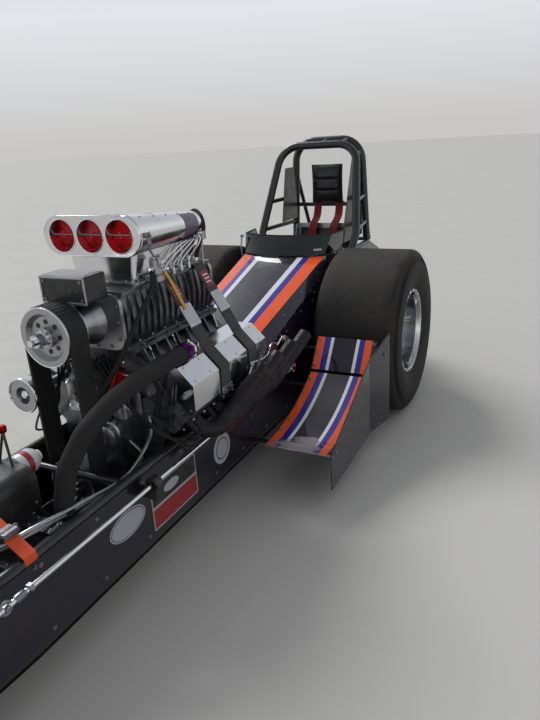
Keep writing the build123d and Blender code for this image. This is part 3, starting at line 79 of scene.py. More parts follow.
def add_camera():
    turn = (Matrix.Rotation(CAMERA_YAW, 4, "Z") @ Matrix.Rotation(math.pi / 2 - CAMERA_PITCH, 4, "X")
            @ Matrix.Rotation(-CAMERA_ROLL, 4, "Z"))
    data = bpy.data.cameras.new("camera")
    data.sensor_width = SENSOR
    data.lens = FOCAL_PIXELS / PHOTO_HEIGHT * SENSOR
    camera = add_to_scene(bpy.data.objects.new("camera", data))
    camera.matrix_world = Matrix.Translation(ORIGIN + CAMERA_PLACE * MM) @ turn
    bpy.context.scene.camera = camera


add_camera()
bpy.context.scene.view_settings.view_transform = "Standard"


# Colours are written as they look on a screen, from 0 to 255
def shade(*color):
    parts = [value / 255 for value in color]
    return (*[part / 12.92 if part <= 0.04045 else ((part + 0.055) / 1.055) ** 2.4 for part in parts], 1)


PURPLE_BLACK = shade(20, 13, 32)
STRIPE_WHITE = shade(222, 224, 236)
STRIPE_BLUE = shade(34, 30, 140)
STRIPE_ORANGE = shade(242, 88, 18)
DULL_METAL = shade(176, 176, 178)
RUBBER = shade(31, 31, 33)
DUST = shade(118, 108, 96)
BELT_BLACK = shade(22, 22, 24)


class Nodes:
    """A node tree, with short ways to add nodes. Each gives back an output of the new node."""

    def __init__(self, tree, coordinates):
        self.tree = tree
        self.coordinates = self.node("ShaderNodeTexCoord", {}, coordinates)

    def feed(self, node, key, value):
        if isinstance(value, bpy.types.NodeSocket):
            self.tree.links.new(value, node.inputs[key])
        else:
            node.inputs[key].default_value = value

    def node(self, kind, inputs, output=0, **settings):
        made = self.tree.nodes.new(kind)
        for key, value in settings.items():
            setattr(made, key, value)
        for key, value in inputs.items():
            self.feed(made, key, value)
        return made.outputs[output]

    def math(self, operation, a, b=0.0):
        return self.node("ShaderNodeMath", {0: a, 1: b}, operation=operation)

    def axis(self, name, coordinates=None):
        return self.node("ShaderNodeSeparateXYZ", {0: coordinates or self.coordinates}, name)

    def bands(self, value, *steps, curve="CONSTANT"):
        """Colours along a value from 0 to 1: each step is where a colour starts, and the colour."""
        made = self.tree.nodes.new("ShaderNodeValToRGB")
        self.feed(made, 0, value)
        made.color_ramp.interpolation = curve
        stops = made.color_ramp.elements
        stops[0].position, stops[0].color = steps[0]
        stops[1].position, stops[1].color = steps[-1]
        for position, color in steps[1:-1]:
            stops.new(position).color = color
        return made.outputs[0]


class Finish(Nodes):
    """A material around one Principled shader, with short ways to give it grain and wear."""

    def __init__(self, name, color, roughness, metallic=0.0, **sockets):
        self.material = bpy.data.materials.new(name)
        self.material.use_nodes = True
        super().__init__(self.material.node_tree, "Object")
        self.shader = self.tree.nodes["Principled BSDF"]
        self.bumped = None
        sockets.update(Base_Color=color, Roughness=roughness, Metallic=metallic)
        for socket, value in sockets.items():
            self.set(socket.replace("_", " "), value)

    def set(self, socket, value):
        self.feed(self.shader, socket, value)

    def facing_up(self):
        return self.axis("Z", self.node("ShaderNodeNewGeometry", {}, "Normal"))

    def grain(self, scale, detail=3.0, roughness=0.55, stretch=(1, 1, 1)):
        place = self.node("ShaderNodeMapping", {0: self.coordinates, "Scale": stretch})
        return self.node("ShaderNodeTexNoise",
                         {0: place, "Scale": scale, "Detail": detail, "Roughness": roughness})

    def spread(self, value, low, high, to_low=0.0, to_high=1.0, curve="SMOOTHSTEP"):
        """Maps a value from low and high to other ends."""
        return self.node("ShaderNodeMapRange", {0: value, 1: low, 2: high, 3: to_low, 4: to_high},
                         interpolation_type=curve)

    def mix(self, share, a, b):
        return self.node("ShaderNodeMix", {0: share, 6: a, 7: b}, 2, data_type="RGBA")

    def stain(self, clean, dirt, low, high, share, *grain):
        """Patches of dirt over a colour."""
        self.set("Base Color", self.mix(self.spread(self.grain(*grain), low, high, 0.0, share), clean, dirt))

    def roughen(self, low, high, smooth, rough, *grain):
        self.set("Roughness", self.spread(self.grain(*grain), low, high, smooth, rough))

    def bump(self, height, distance, strength=1.0):
        """Adds relief to the surface and its clear coat, with a distance in metres."""
        inputs = {"Strength": strength, "Distance": distance, "Height": height}
        if self.bumped:
            inputs["Normal"] = self.bumped
        self.bumped = self.node("ShaderNodeBump", inputs)
        self.set("Normal", self.bumped)
        self.set("Coat Normal", self.bumped)
        return self.material


# Materials
def body_paint(name, striped=None):
    """Deep gloss paint with a fine flake, faint orange peel and a film of dust."""
    finish = Finish(name, PURPLE_BLACK, 0.3, Specular_IOR_Level=0.2, Coat_Weight=1.0, Coat_Roughness=0.03,
                    Coat_IOR=1.5)
    color = striped(finish) if striped else PURPLE_BLACK
    specks = finish.node("ShaderNodeTexVoronoi", {0: finish.coordinates, "Scale": 1500}, "Distance")
    flake = finish.math("MULTIPLY", finish.spread(specks, 0.0, 0.25, 1.0, 0.0), 0.10)
    finish.stain(finish.mix(flake, color, shade(96, 60, 150)), DUST, 0.5, 0.78, 0.06, 9, 6, 0.65)
    finish.roughen(0.4, 0.7, 0.28, 0.4, 14, 5)
    return finish.bump(finish.grain(120, 1), 0.00001)


# Where each stripe starts across the cowl, as a share of its half width
COWL_STRIPES = ((0.45, STRIPE_WHITE), (0.575, STRIPE_BLUE), (0.716, STRIPE_ORANGE), (1.0, PURPLE_BLACK))
# Half width of the cowl's crown in metres, at its front and rear
COWL_HALF = (0.208, 0.242)


def cowl_stripes(finish):
    """Stripes that fan out with the cowl's crown. Shares are kept under 1, where a ramp ends."""
    low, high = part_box("cowl")
    half = finish.spread(finish.axis("Y"), low.y, high.y, *COWL_HALF, "LINEAR")
    share = finish.math("DIVIDE", finish.math("ABSOLUTE", finish.axis("X")), half)
    steps = [(start * 0.8, color) for start, color in COWL_STRIPES]
    return finish.bands(finish.math("MULTIPLY", share, 0.8), (0.0, PURPLE_BLACK), *steps)


# Where each stripe starts across the ramps, in metres from the car's middle
RAMP_STRIPES = (
    (0.362, STRIPE_ORANGE), (0.401, STRIPE_BLUE), (0.430, STRIPE_WHITE), (0.446, PURPLE_BLACK),
    (0.561, STRIPE_WHITE), (0.576, STRIPE_BLUE), (0.602, STRIPE_ORANGE), (0.640, PURPLE_BLACK),
)
RAMP_MIDDLE = 0.505


def ramp_stripes(finish):
    """Stripes along both edges of the ramps, worn to bare grey in patches at the front lip."""
    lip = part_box("ramps")[0].y
    across = finish.math("ABSOLUTE", finish.axis("X"))
    upward = finish.math("GREATER_THAN", finish.facing_up(), 0.2)
    color = finish.mix(upward, PURPLE_BLACK, finish.bands(across, (0.0, PURPLE_BLACK), *RAMP_STRIPES))
    off_middle = finish.math("ABSOLUTE", finish.math("SUBTRACT", across, RAMP_MIDDLE))
    centred = finish.spread(off_middle, 0.02, 0.15, 0.16, -0.12)
    near_lip = finish.spread(finish.axis("Y"), lip + 0.03, lip + 0.26, 0.24, -0.35)
    patches = finish.math("ADD", finish.grain(14, 7, 0.75, (1, 2, 1)), finish.math("ADD", near_lip, centred))
    worn = finish.math("MULTIPLY", finish.spread(patches, 0.66, 0.74), upward)
    return finish.mix(worn, color, shade(132, 124, 130))


def rubber(name, dusty):
    """Matt black rubber, brown with dust towards the top and in soft patches."""
    finish = Finish(name, RUBBER, 0.8, Specular_IOR_Level=0.3)
    patches = finish.grain(6, 6, 0.65)
    scuffs = finish.grain(34, 4, 0.6)
    upper = finish.spread(finish.facing_up(), -0.4, 1.0, 0.35, 1.0)
    share = finish.math("MULTIPLY", finish.spread(patches, 0.3, 0.75), upper)
    share = finish.math("MULTIPLY", share, finish.spread(scuffs, 0.25, 0.75, 0.55, 1.0))
    finish.set("Base Color", finish.mix(finish.math("MULTIPLY", share, dusty), RUBBER, DUST))
    finish.set("Roughness", finish.spread(patches, 0.3, 0.7, 0.62, 0.88))
    finish.bump(finish.grain(420, 3, 0.7), 0.0004, 0.5)
    return finish.bump(scuffs, 0.0005, 0.35)


def bright(name, color=shade(232, 232, 234), roughness=0.12, grain=0.10):
    """Polished or machined metal with faint scratches and finger marks."""
    finish = Finish(name, color, roughness, 1.0)
    smears = finish.grain(12, 6, 0.7)
    scratches = finish.grain(30, 2, 0.5, (1, 22, 1))
    smeared = finish.spread(smears, 0.35, 0.75, roughness, roughness + grain)
    finish.set("Roughness", finish.math("ADD", smeared, finish.spread(scratches, 0.62, 0.7, 0.0, 0.05)))
    finish.set("Base Color", finish.mix(finish.spread(smears, 0.5, 0.8, 0.0, 0.25), color, DULL_METAL))
    return finish.bump(scratches, 0.00002)


def cast(name, color, roughness=0.42):
    """Sand-cast metal: grainy, with darker oily hollows."""
    finish = Finish(name, color, roughness, 1.0)
    finish.stain(color, shade(48, 44, 40), 0.42, 0.72, 0.55, 16, 6, 0.7)
    finish.roughen(0.3, 0.7, roughness - 0.1, roughness + 0.14, 40, 4)
    return finish.bump(finish.grain(260, 4, 0.7), 0.0003)


def enamel(name, color, roughness=0.3, dusty=0.12):
    """Painted or powder-coated metal with a little dust."""
    finish = Finish(name, color, roughness, Coat_Weight=0.4, Coat_Roughness=0.15)
    finish.stain(color, DUST, 0.48, 0.8, dusty, 13, 6, 0.7)
    finish.roughen(0.35, 0.7, roughness, roughness + 0.18, 30, 4)
    return finish.bump(finish.grain(300, 2), 0.00008)


def burnt_pipe():
    """Black-coated exhaust pipe, brown and ashy from heat."""
    finish = Finish("burnt_pipe", shade(30, 29, 30), 0.5, 0.55)
    finish.stain(shade(34, 33, 35), shade(84, 76, 70), 0.45, 0.75, 0.5, 18, 6, 0.7)
    finish.roughen(0.35, 0.7, 0.36, 0.66, 25, 4)
    return finish.bump(finish.grain(200, 4, 0.7), 0.0002)


def webbing(name, color=shade(26, 26, 30)):
    """Woven nylon: a fine twill across the strap."""
    finish = Finish(name, color, 0.75, Sheen_Weight=0.3, Sheen_Roughness=0.5)
    finish.stain(color, shade(78, 76, 80), 0.5, 0.8, 0.3, 45, 5, 0.7)
    twill = finish.node("ShaderNodeTexWave", {0: finish.coordinates, "Scale": 220}, 1, wave_type="BANDS",
                        bands_direction="DIAGONAL")
    return finish.bump(twill, 0.0003, 0.6)


def smoked_screen():
    finish = Finish("smoked_screen", shade(34, 35, 42), 0.06, Transmission_Weight=0.7, IOR=1.49,
                    Coat_Weight=0.5)
    finish.roughen(0.4, 0.8, 0.04, 0.14, 20, 5, 0.7)
    return finish.bump(finish.grain(15, 2), 0.0001)


def toothed_belt():
    finish = Finish("toothed_belt", BELT_BLACK, 0.65)
    finish.stain(BELT_BLACK, shade(70, 66, 62), 0.5, 0.8, 0.3, 30, 5)
    return finish.bump(finish.grain(500, 3), 0.0003)


PAINT = body_paint("body_paint")
COWL_PAINT = body_paint("cowl_paint", cowl_stripes)
RAMP_PAINT = body_paint("ramp_paint", ramp_stripes)
SLICK_RUBBER = rubber("slick_rubber", 0.34)
TYRE_RUBBER = rubber("tyre_rubber", 0.24)
HOSE_RUBBER = rubber("hose_rubber", 0.12)
POLISHED = bright("polished_aluminium")
MACHINED = bright("machined_aluminium", DULL_METAL, 0.3, 0.12)
CHROME = bright("chrome", shade(240, 240, 242), 0.05, 0.06)
CAST = cast("cast_aluminium", shade(150, 151, 154))
DARK_CAST = cast("dark_cast", shade(118, 119, 122), 0.36)
STEEL = bright("steel", shade(140, 142, 146), 0.32, 0.15)
BRASS = bright("brass", shade(196, 150, 84), 0.28, 0.12)
BLACK = enamel("satin_black", shade(24, 24, 26), 0.32)
BLACK_PARTS = enamel("black_parts", shade(20, 20, 22), 0.45)
# Near-black enamel for seams, gaskets, dials and decal print, and also painted shade in wheel, pulley and
# brake disc holes
SEAM_AND_HOLE_SHADE = enamel("dark_seam_and_hole_shade", shade(9, 8, 12), 0.5, 0.3)
WHITE_PAINT = enamel("white_paint", shade(206, 206, 212), 0.35)
RED_PAINT = enamel("red_paint", shade(150, 16, 20), 0.35)
BARE_LABEL = enamel("bare_label", shade(92, 78, 104), 0.4)
PALE_FACE = enamel("pale_face", shade(168, 168, 176), 0.4)
PIPES = burnt_pipe()
STRAP = webbing("strap_webbing")
ORANGE_STRAP = webbing("orange_webbing", shade(214, 76, 30))
RED_STRAP = webbing("red_webbing", shade(140, 20, 30))
CHUTE = webbing("chute_nylon", shade(28, 30, 44))
VINYL = enamel("seat_vinyl", shade(26, 26, 29), 0.5, 0.2)
SCREEN = smoked_screen()
BELT = toothed_belt()
RED = bright("red_anodised", shade(168, 22, 26), 0.3, 0.12)
PURPLE = bright("purple_anodised", shade(96, 26, 110), 0.28, 0.12)

# The CAD nodes of each material. The rest are satin black
MATERIAL_NODES = {
    PAINT: "side_panels nose_shell cockpit_sides", COWL_PAINT: "cowl", RAMP_PAINT: "ramps",
    SLICK_RUBBER: "rear_slicks", TYRE_RUBBER: "front_tyre_left front_tyre_right",
    HOSE_RUBBER: "breather_hose",
    POLISHED: "valve_covers injector_hat rear_wheels", PIPES: "headers", BELT: "blower_belt",
    SCREEN: "windscreen",
    MACHINED: "belly_pan seat brake_calipers blower_plates belt_pulleys firewall",
    CHROME: "front_axle front_wheel_left front_wheel_right tie_rod drag_link", RED: "throttle_plates",
    CAST: "steering_box cylinder_heads front_cover bell_housing", STRAP: "blower_straps",
    CHUTE: "parachute_pack",
    DARK_CAST: "engine_block intake_manifold blower_case motor_plate magneto",
    STEEL: "rear_hubs knuckle_left knuckle_right pitman_arm", BLACK_PARTS: "link_guide drive_box fuel_tank",
}
NODE_MATERIALS = {node: material for material, nodes in MATERIAL_NODES.items() for node in nodes.split()}
for name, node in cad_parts.items():
    node.data.materials.clear()
    node.data.materials.append(NODE_MATERIALS.get(name, BLACK))


# Shapes
def square_to(axis):
    """Two directions square to an axis and to each other: the first is level, the second points up."""
    axis = Vector(axis).normalized()
    side = (UP if abs(axis.z) < 0.95 else REAR).cross(axis).normalized()
    return side, axis.cross(side)


def circle(radius, steps=24, start=0.0):
    turns = [start + math.tau * i / steps for i in range(steps)]
    return [(radius * math.cos(turn), radius * math.sin(turn)) for turn in turns]


def oval(half_width, half_height, steps=36):
    return [(x * half_width, z * half_height) for x, z in circle(1, steps)]


def rounded(width, height, radius, steps=4):
    """A rectangle with round corners."""
    outline = []
    for x, z, start in ((1, 1, 0), (-1, 1, 90), (-1, -1, 180), (1, -1, 270)):
        for i in range(steps + 1):
            turn = math.radians(start + 90 * i / steps)
            outline.append((x * (width / 2 - radius) + radius * math.cos(turn),
                            z * (height / 2 - radius) + radius * math.sin(turn)))
    return outline


def arc(a, b, c, steps):
    """Points on the circle through three points in a plane, from a to c."""
    (ax, ay), (bx, by), (cx, cy) = a, b, c
    d = 2 * (ax * (by - cy) + bx * (cy - ay) + cx * (ay - by))
    sa, sb, sc = (x * x + y * y for x, y in (a, b, c))
    ox = (sa * (by - cy) + sb * (cy - ay) + sc * (ay - by)) / d
    oy = (sa * (cx - bx) + sb * (ax - cx) + sc * (bx - ax)) / d
    radius = math.hypot(ax - ox, ay - oy)
    start, via, end = (math.atan2(y - oy, x - ox) for x, y in (a, b, c))
    sweep = (end - start) % math.tau
    if (via - start) % math.tau > sweep:
        sweep -= math.tau
    turns = [start + sweep * i / steps for i in range(steps + 1)]
    return [(ox + radius * math.cos(turn), oy + radius * math.sin(turn)) for turn in turns]


def both_ways(outline):
    """An outline followed by its mirror image."""
    return outline + [(-along, radius) for along, radius in reversed(outline)]


def flowing(places, steps=8):
    """A smooth line through places."""
    points = [Vector(place) for place in places]
    ends = [points[0] * 2 - points[1], *points, points[-1] * 2 - points[-2]]
    line = []
    for a, b, c, d in zip(ends, ends[1:], ends[2:], ends[3:]):
        for t in (i / steps for i in range(steps)):
            line.append((b * 2 + (c - a) * t + (a * 2 - b * 5 + c * 4 - d) * t * t
                         + (b * 3 - a - c * 3 + d) * t * t * t) / 2)
    return line + [points[-1]]


def around(centre, axis, radius, count, start=0.0):
    """Places on a circle round an axis."""
    side, up = square_to(axis)
    return [Vector(centre) + side * a + up * b for a, b in circle(radius, count, start)]


def grid(xs, stations, heights):
    """Every place with one of these xs, stations and heights."""
    return [Vector(place) for place in itertools.product(xs, stations, heights)]


def each(places):
    """One place or a list of them, as a list."""
    return [Vector(places)] if isinstance(places[0], (int, float)) else [Vector(place) for place in places]


def shrunk(value, inset):
    """A number moved towards 0, by no more than its size."""
    return value - math.copysign(min(inset, abs(value)), value)


class Piece:
    """A mesh that grows from lathed, swept and flat shapes, and then becomes one object of the scene."""

    def __init__(self, name, material, body="chassis", crease=35):
        self.name = name
        self.material = material
        self.body = body
        self.crease = math.radians(crease)
        self.mesh = bmesh.new()

    def loft(self, rings, wrap=False):
        """Skins rings of points, with a cap at each end unless the last ring joins the first."""
        rows = [[self.mesh.verts.new(ORIGIN + place * MM) for place in ring] for ring in rings]
        count = len(rows[0])
        for a, b in list(zip(rows, rows[1:])) + ([(rows[-1], rows[0])] if wrap else []):
            for i in range(count):
                self.mesh.faces.new((a[i], a[(i + 1) % count], b[(i + 1) % count], b[i]))
        if not wrap:
            self.mesh.faces.new(rows[0])
            self.mesh.faces.new(rows[-1])
        return self

    def lathe(self, outline, places, axis, steps=32, wrap=False):
        """Turns an outline of distance along the axis and radius."""
        axis = Vector(axis).normalized()
        for place in each(places):
            self.loft([around(place + axis * along, axis, radius, steps) for along, radius in outline], wrap)
        return self

    def ring(self, places, axis, radius, thick, steps=48, sides=8):
        """A round bar bent to a circle."""
        return self.lathe([(a, radius + b) for a, b in circle(thick, sides)], places, axis, steps, wrap=True)

    def tube(self, path, radius, sides=10, closed=False):
        """A round bar along a path. The radius may be a list with one number for each point."""
        points = [Vector(place) for place in path]
        radii = radius if isinstance(radius, (list, tuple)) else [radius] * len(points)
        rings = []
        normal = None
        last = len(points) - 1
        for i, place in enumerate(points):
            before = points[i - 1] if i or closed else place
            after = points[(i + 1) % len(points)] if i < last or closed else place
            along = (after - before).normalized()
            normal = along.orthogonal() if normal is None else normal - along * normal.dot(along)
            normal.normalize()
            side = along.cross(normal)
            rings.append([place + normal * a + side * b for a, b in circle(radii[i], sides)])
        return self.loft(rings, wrap=closed)

    def plate(self, outline, places, axis, thick, edge=0.8):
        """A flat plate with softened edges, standing on a place and facing along the axis."""
        axis = Vector(axis).normalized()
        side, up = square_to(axis)
        edge = min(edge, thick / 3)
        levels = ((0, 0), (thick - edge, 0), (thick, edge))
        for place in each(places):
            self.loft([[place + axis * height + side * shrunk(x, inset) + up * shrunk(z, inset)
                        for x, z in outline] for height, inset in levels])
        return self

    def ribbon(self, path, across, width, thick=2.4):
        """A flat strap along a path. Its width lies along the across direction."""
        points = [Vector(place) for place in path]
        rings = []
        for i, place in enumerate(points):
            along = (points[min(i + 1, len(points) - 1)] - points[max(i - 1, 0)]).normalized()
            wide = Vector(across).normalized()
            wide = (wide - along * wide.dot(along)).normalized() * width / 2
            lift = along.cross(wide).normalized() * thick / 2
            rings.append([place - wide - lift, place + wide - lift, place + wide + lift, place - wide + lift])
        return self.loft(rings)

    def block(self, low, high, edge=2):
        """A box between two corners, with softened upright and upper edges."""
        low, high = Vector(low), Vector(high)
        size = high - low
        outline = rounded(size.x, size.y, min(edge, size.x / 3, size.y / 3), 2)
        foot = (low + high - UP * size.z) / 2
        return self.loft([[foot + Vector((x - math.copysign(inset, x), y - math.copysign(inset, y), height))
                           for x, y in outline]
                          for height, inset in ((0, edge), (edge, 0), (size.z - edge, 0), (size.z, edge))])

    def bolt(self, places, axis, radius=6):
        """A hexagon head on a washer."""
        self.lathe([(0, radius * 1.4), (radius * 0.25, radius * 1.4)], places, axis, 14)
        return self.lathe([(0, radius), (radius * 0.9, radius), (radius * 1.15, radius * 0.82)], places, axis,
                          6)

    def rivet(self, places, axis, radius=4):
        """A domed head."""
        dome = ((0, 1), (0.3, 0.95), (0.6, 0.6), (0.7, 0))
        return self.lathe([(radius * a, radius * b) for a, b in dome], places, axis, 10)

    def fastener(self, places, axis, radius=7.5):
        """A quarter-turn panel fastener: a dished ring round a slotted button."""
        dish = ((0, 1), (0.22, 0.96), (0.22, 0.72), (0.08, 0.66), (0.08, 0.52), (0.2, 0.45), (0.2, 0))
        slot = [(radius * x, radius * z) for x, z in ((-0.4, -0.07), (0.4, -0.07), (0.4, 0.07), (-0.4, 0.07))]
        self.lathe([(radius * a, radius * b) for a, b in dish], places, axis, 16)
        return self.plate(slot, places, axis, radius * 0.28, 0.1)

    def fitting(self, places, axis, radius=9, length=26):
        """A hose or line fitting: a hexagon nut and a collar."""
        self.lathe([(0, radius), (length * 0.45, radius), (length * 0.5, radius * 0.8)], places, axis, 6)
        return self.lathe([(length * 0.4, radius * 0.78), (length * 0.9, radius * 0.74),
                           (length, radius * 0.6)],
                          places, axis, 14)

    def mirror(self):
        """Adds all that the piece has so far on the other side too."""
        parts = self.mesh.verts[:] + self.mesh.edges[:] + self.mesh.faces[:]
        for part in bmesh.ops.duplicate(self.mesh, geom=parts)["geom"]:
            if isinstance(part, bmesh.types.BMVert):
                part.co.x *= -1
        return self

    def done(self, *replaced):
        bmesh.ops.remove_doubles(self.mesh, verts=self.mesh.verts, dist=1e-6)
        bmesh.ops.dissolve_degenerate(self.mesh, edges=self.mesh.edges, dist=1e-7)
        bmesh.ops.recalc_face_normals(self.mesh, faces=self.mesh.faces)
        data = bpy.data.meshes.new(self.name)
        self.mesh.to_mesh(data)
        self.mesh.free()
        data.materials.append(self.material)
        data.shade_smooth()
        data.set_sharp_from_angle(angle=self.crease)
        made = add_to_scene(bpy.data.objects.new(self.name, data))
        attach(made, self.body)
        if replaced:
            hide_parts(*replaced)
        return made


SIDES = ((1, "left"), (-1, "right"))
MIRROR = (1, -1)


def finish_pieces(*pieces):
    for piece in pieces:
        piece.done()


# Rear slicks and wheels
SLICK_CENTRE = Vector((515, 0, AXLE_Z))
# Raised mould rings on both walls: distance from the tyre's middle, radius and thickness
MOULD_RINGS = ((194.5, 233.5, 3), (201.2, 250, 2.2), (214.5, 372, 1.8), (211.8, 380, 1.8), (206.8, 390.5, 3))


def add_slicks():
    wall = [(177.4, 211.6), (177.4, 222.2), (186, 222.5)]
    wall += arc((191.4, 222), (220, 331.3), (204, 393.5), 16)
    wall += arc((204, 393.5), (192, 417.5), (172, 427.3), 8)[1:]
    wall += [(120, 427.5), (40, 427.5)]
    piece = Piece("slicks", SLICK_RUBBER, "rear_axle")
    piece.lathe(both_ways(wall), SLICK_CENTRE, LEFT, 128, wrap=True)
    for along, radius, thick in MOULD_RINGS:
        piece.ring([SLICK_CENTRE + LEFT * along, SLICK_CENTRE - LEFT * along], LEFT, radius, thick, 128, 6)
    piece.mirror().done("rear_slicks")


def add_rear_wheel_details():
    rings = Piece("bead_rings", POLISHED, "rear_axle")
    bolts = Piece("rear_wheel_bolts", STEEL, "rear_axle")
    caps = Piece("rear_hub_caps", CHROME, "rear_axle")
    dark = Piece("rear_wheel_hole_shade", SEAM_AND_HOLE_SHADE, "rear_axle")
    rings.lathe([(188.5, 223.2), (193, 223.8), (195.5, 222.2), (196.5, 219.5), (195.5, 212.5), (193, 210.8),
                 (188.5, 210.4)], SLICK_CENTRE, LEFT, 96, wrap=True)
    bolts.bolt(around(SLICK_CENTRE + LEFT * 195.5, LEFT, 217.5, 24), LEFT, 4.2)
    face = SLICK_CENTRE - LEFT * 48
    caps.lathe([(0, 16), (4, 16), (5, 11.5), (20, 10.5), (24, 6), (24.5, 0)], around(face, LEFT, 60, 5), LEFT,
               6)
    holes = around(face, LEFT, 67.5, 5, 0.628)
    # Dark discs in the five holes of the wheel's face: painted shade for the inside of the holes
    dark.plate(circle(13, 20), holes, LEFT, 1.2)
    rings.ring([hole + LEFT * 0.6 for hole in holes], LEFT, 13.5, 1.4, 24, 6)
    caps.lathe([(0, 36), (6, 36), (12, 33), (18, 20), (20, 0)], face, LEFT)
    bolts.rivet(around(face, LEFT, 88.5, 12, math.pi / 12), LEFT, 4.5)
    caps.tube([SLICK_CENTRE + Vector((100, 185, 0)), SLICK_CENTRE + Vector((135, 172, 0))], 4, 8)
    for piece in (rings, bolts, caps, dark):
        piece.mirror().done()


# Front wheels: ribbed tyre, box rim, laced spokes and a flanged hub
FRONT_CENTRE = Vector((550, *middle("front_tyre_left").yz))
SPOKES = 40
SPOKE_LEAN = math.radians(38)
TYRE_HALF = [(25.3, 218.2), (25.3, 228.6), (29.2, 229), *arc((31, 231.5), (39.5, 252), (35.5, 270.5), 8),
             (32.2, 275.5), (29, 278.5), (26.5, 279.8), (26.2, 277.5), (24, 277.5), (23.7, 281.2),
             (16.5, 284.5),
             (16.2, 281.8), (14, 281.8), (13.7, 285.8), (6.2, 288.2), (5.9, 285.5), (3.7, 285.5),
             (3.4, 289.3)]
RIM_HALF = [(25, 218), (26.2, 228.6), (29.8, 228.2), (31.2, 227.5), (31.2, 225.5), (26.2, 222.5),
            (26.2, 217.6),
            (29.5, 215), (26.2, 211.8), (13.5, 207.8), (4, 207)]
HUB_HALF = [(48, 12.8), (48, 22.5), (47.5, 24.5), (43.5, 25.5), (42.5, 38.5), (41, 39.8), (38.5, 39.8),
            (37.2, 38.5),
            (36, 25.5), (30, 22.5), (10, 20.5)]


def add_front_wheel(side, name):
    body = f"front_wheel_{name}"
    axis = LEFT * side
    centre = FRONT_CENTRE * Vector((side, 1, 1))
    tyre = Piece(f"front_tyre_tread_{name}", TYRE_RUBBER, body)
    tyre.lathe(both_ways(TYRE_HALF), centre, axis, 112, wrap=True)
    for along, radius in ((37.5, 262.5), (34.5, 238.5)):
        tyre.ring([centre + axis * along, centre - axis * along], axis, radius, 1.4, 96, 6)
    tyre.done(f"front_tyre_{name}")

    rim = Piece(f"front_rim_{name}", CHROME, body)
    rim.lathe(both_ways(RIM_HALF), centre, axis, 112, wrap=True)
    rim.lathe(both_ways(HUB_HALF), centre, axis, 40, wrap=True)
    rim.done(f"front_wheel_{name}")

    spokes = Piece(f"front_spokes_{name}", CHROME, body)
    nipples = Piece(f"spoke_nipples_{name}", STEEL, body)
    for i in range(SPOKES):
        flange = 1 if i % 2 else -1
        lean = 1 if i % 4 < 2 else -1
        turn = math.tau * i / SPOKES
        out, rim_out = (Vector((0, math.cos(t), math.sin(t))) for t in (turn, turn + SPOKE_LEAN * lean))
        low = centre + axis * (39.8 * flange + 1.5 * lean) + out * 33.5
        high = centre + axis * 6 * flange + rim_out * 208.5
        spokes.tube([low, high], 1.4, 6)
        spokes.rivet(low + axis * 2 * flange, axis * flange, 2.2)
        nipples.tube([high, high + (low - high).normalized() * 14], 2.6, 6)
    finish_pieces(spokes, nipples)


# Injector hat: lips, butterflies, base flange, blank label
HAT_FRONT, HAT_REAR, HAT_Z = -1560, -1110, 1177
BORES = (-123, 0, 123)
BUTTERFLY_FACING = Vector((0, -0.9903, -0.1392))


def hat_skin(t, turn, lift=0.0):
    """A place on the hat's left end, from 0 at the mouth to 1 at the rear, at an angle up from level."""
    half, height = 205 - 45 * t, 68 - 21 * t
    return Vector((half - height + (height + lift) * math.cos(turn),
                   HAT_FRONT + 12 + (HAT_REAR - HAT_FRONT - 12) * t,
                   HAT_Z - 22 * t + (height + lift) * math.sin(turn)))


def hat_line(radius, back):
    """A closed line round the hat: half circles at the ends, level above and below."""
    return [Vector((x + math.copysign(137, x + 1e-6), back, HAT_Z + z)) for x, z in circle(radius, 48)]


def add_hat_details():
    lips = Piece("hat_lips", CHROME)
    lips.ring(grid(BORES, [HAT_FRONT - 0.4], [HAT_Z]), REAR, 56.5, 1.8, 56)
    lips.tube(hat_line(66.5, HAT_FRONT + 1), 2.6, 8, closed=True)
    lips.tube(hat_line(68.4, HAT_FRONT + 13.5), 1.4, 6, closed=True)
    lips.done()

    plates = Piece("butterflies", RED)
    shafts = Piece("butterfly_shafts", STEEL)
    back = HAT_FRONT + 34
    screws = [x + offset for x in BORES for offset in (-22, 22)]
    for up in MIRROR:
        half = [(53.5 * math.cos(math.pi * i / 24), up * (3.5 + 50 * math.sin(math.pi * i / 24)))
                for i in range(25)]
        plates.plate(half, grid(BORES, [back + 1.5], [HAT_Z]), BUTTERFLY_FACING, 3.5, 0.6)
        shafts.rivet(grid(screws, [back - 2 - up * 1.2], [HAT_Z + up * 8.5]), BUTTERFLY_FACING, 2.8)
    shafts.tube([(-198, back, HAT_Z), (212, back, HAT_Z)], 3.2, 12)
    shafts.lathe([(0, 9), (14, 9), (15, 7)], (199, back, HAT_Z), LEFT, 24)
    shafts.plate(rounded(16, 55, 7), (213, back, HAT_Z - 14), LEFT, 5)
    shafts.bolt((218, back, HAT_Z), LEFT)
    shafts.bolt((218, back, HAT_Z - 32), LEFT, 4.5)
    shafts.done()
    plates.done("throttle_plates")

    base = Piece("hat_base_flange", MACHINED)
    base.plate(rounded(284, 396, 22), (0, -1332, 1005.2), UP, 9, 1.2)
    base.done()
    bolts = Piece("hat_bolts", STEEL)
    bolts.bolt(grid((-134, 134), [-1508 + 50.3 * i for i in range(8)], [1014.2]), UP, 5.5)
    bolts.bolt(grid((-90, -30, 30, 90), (-1524, -1140), [1014.2]), UP, 5.5)
    for turn in (math.radians(62), math.radians(-48)):
        bolts.rivet([hat_skin(0.12 + 0.19 * i, turn) for i in range(5)], (math.cos(turn), 0, math.sin(turn)),
                    3.8)
    bolts.done()
    label = Piece("hat_blank_label", BARE_LABEL)
    turns = [math.radians(-58 + 116 * i / 14) for i in range(15)]
    skin = [(turn, 1.2) for turn in turns] + [(turn, -0.6) for turn in reversed(turns)]
    label.loft([[hat_skin(t, turn, lift) for turn, lift in skin] for t in (0.70, 0.76, 0.82, 0.88, 0.94)])
    label.done()


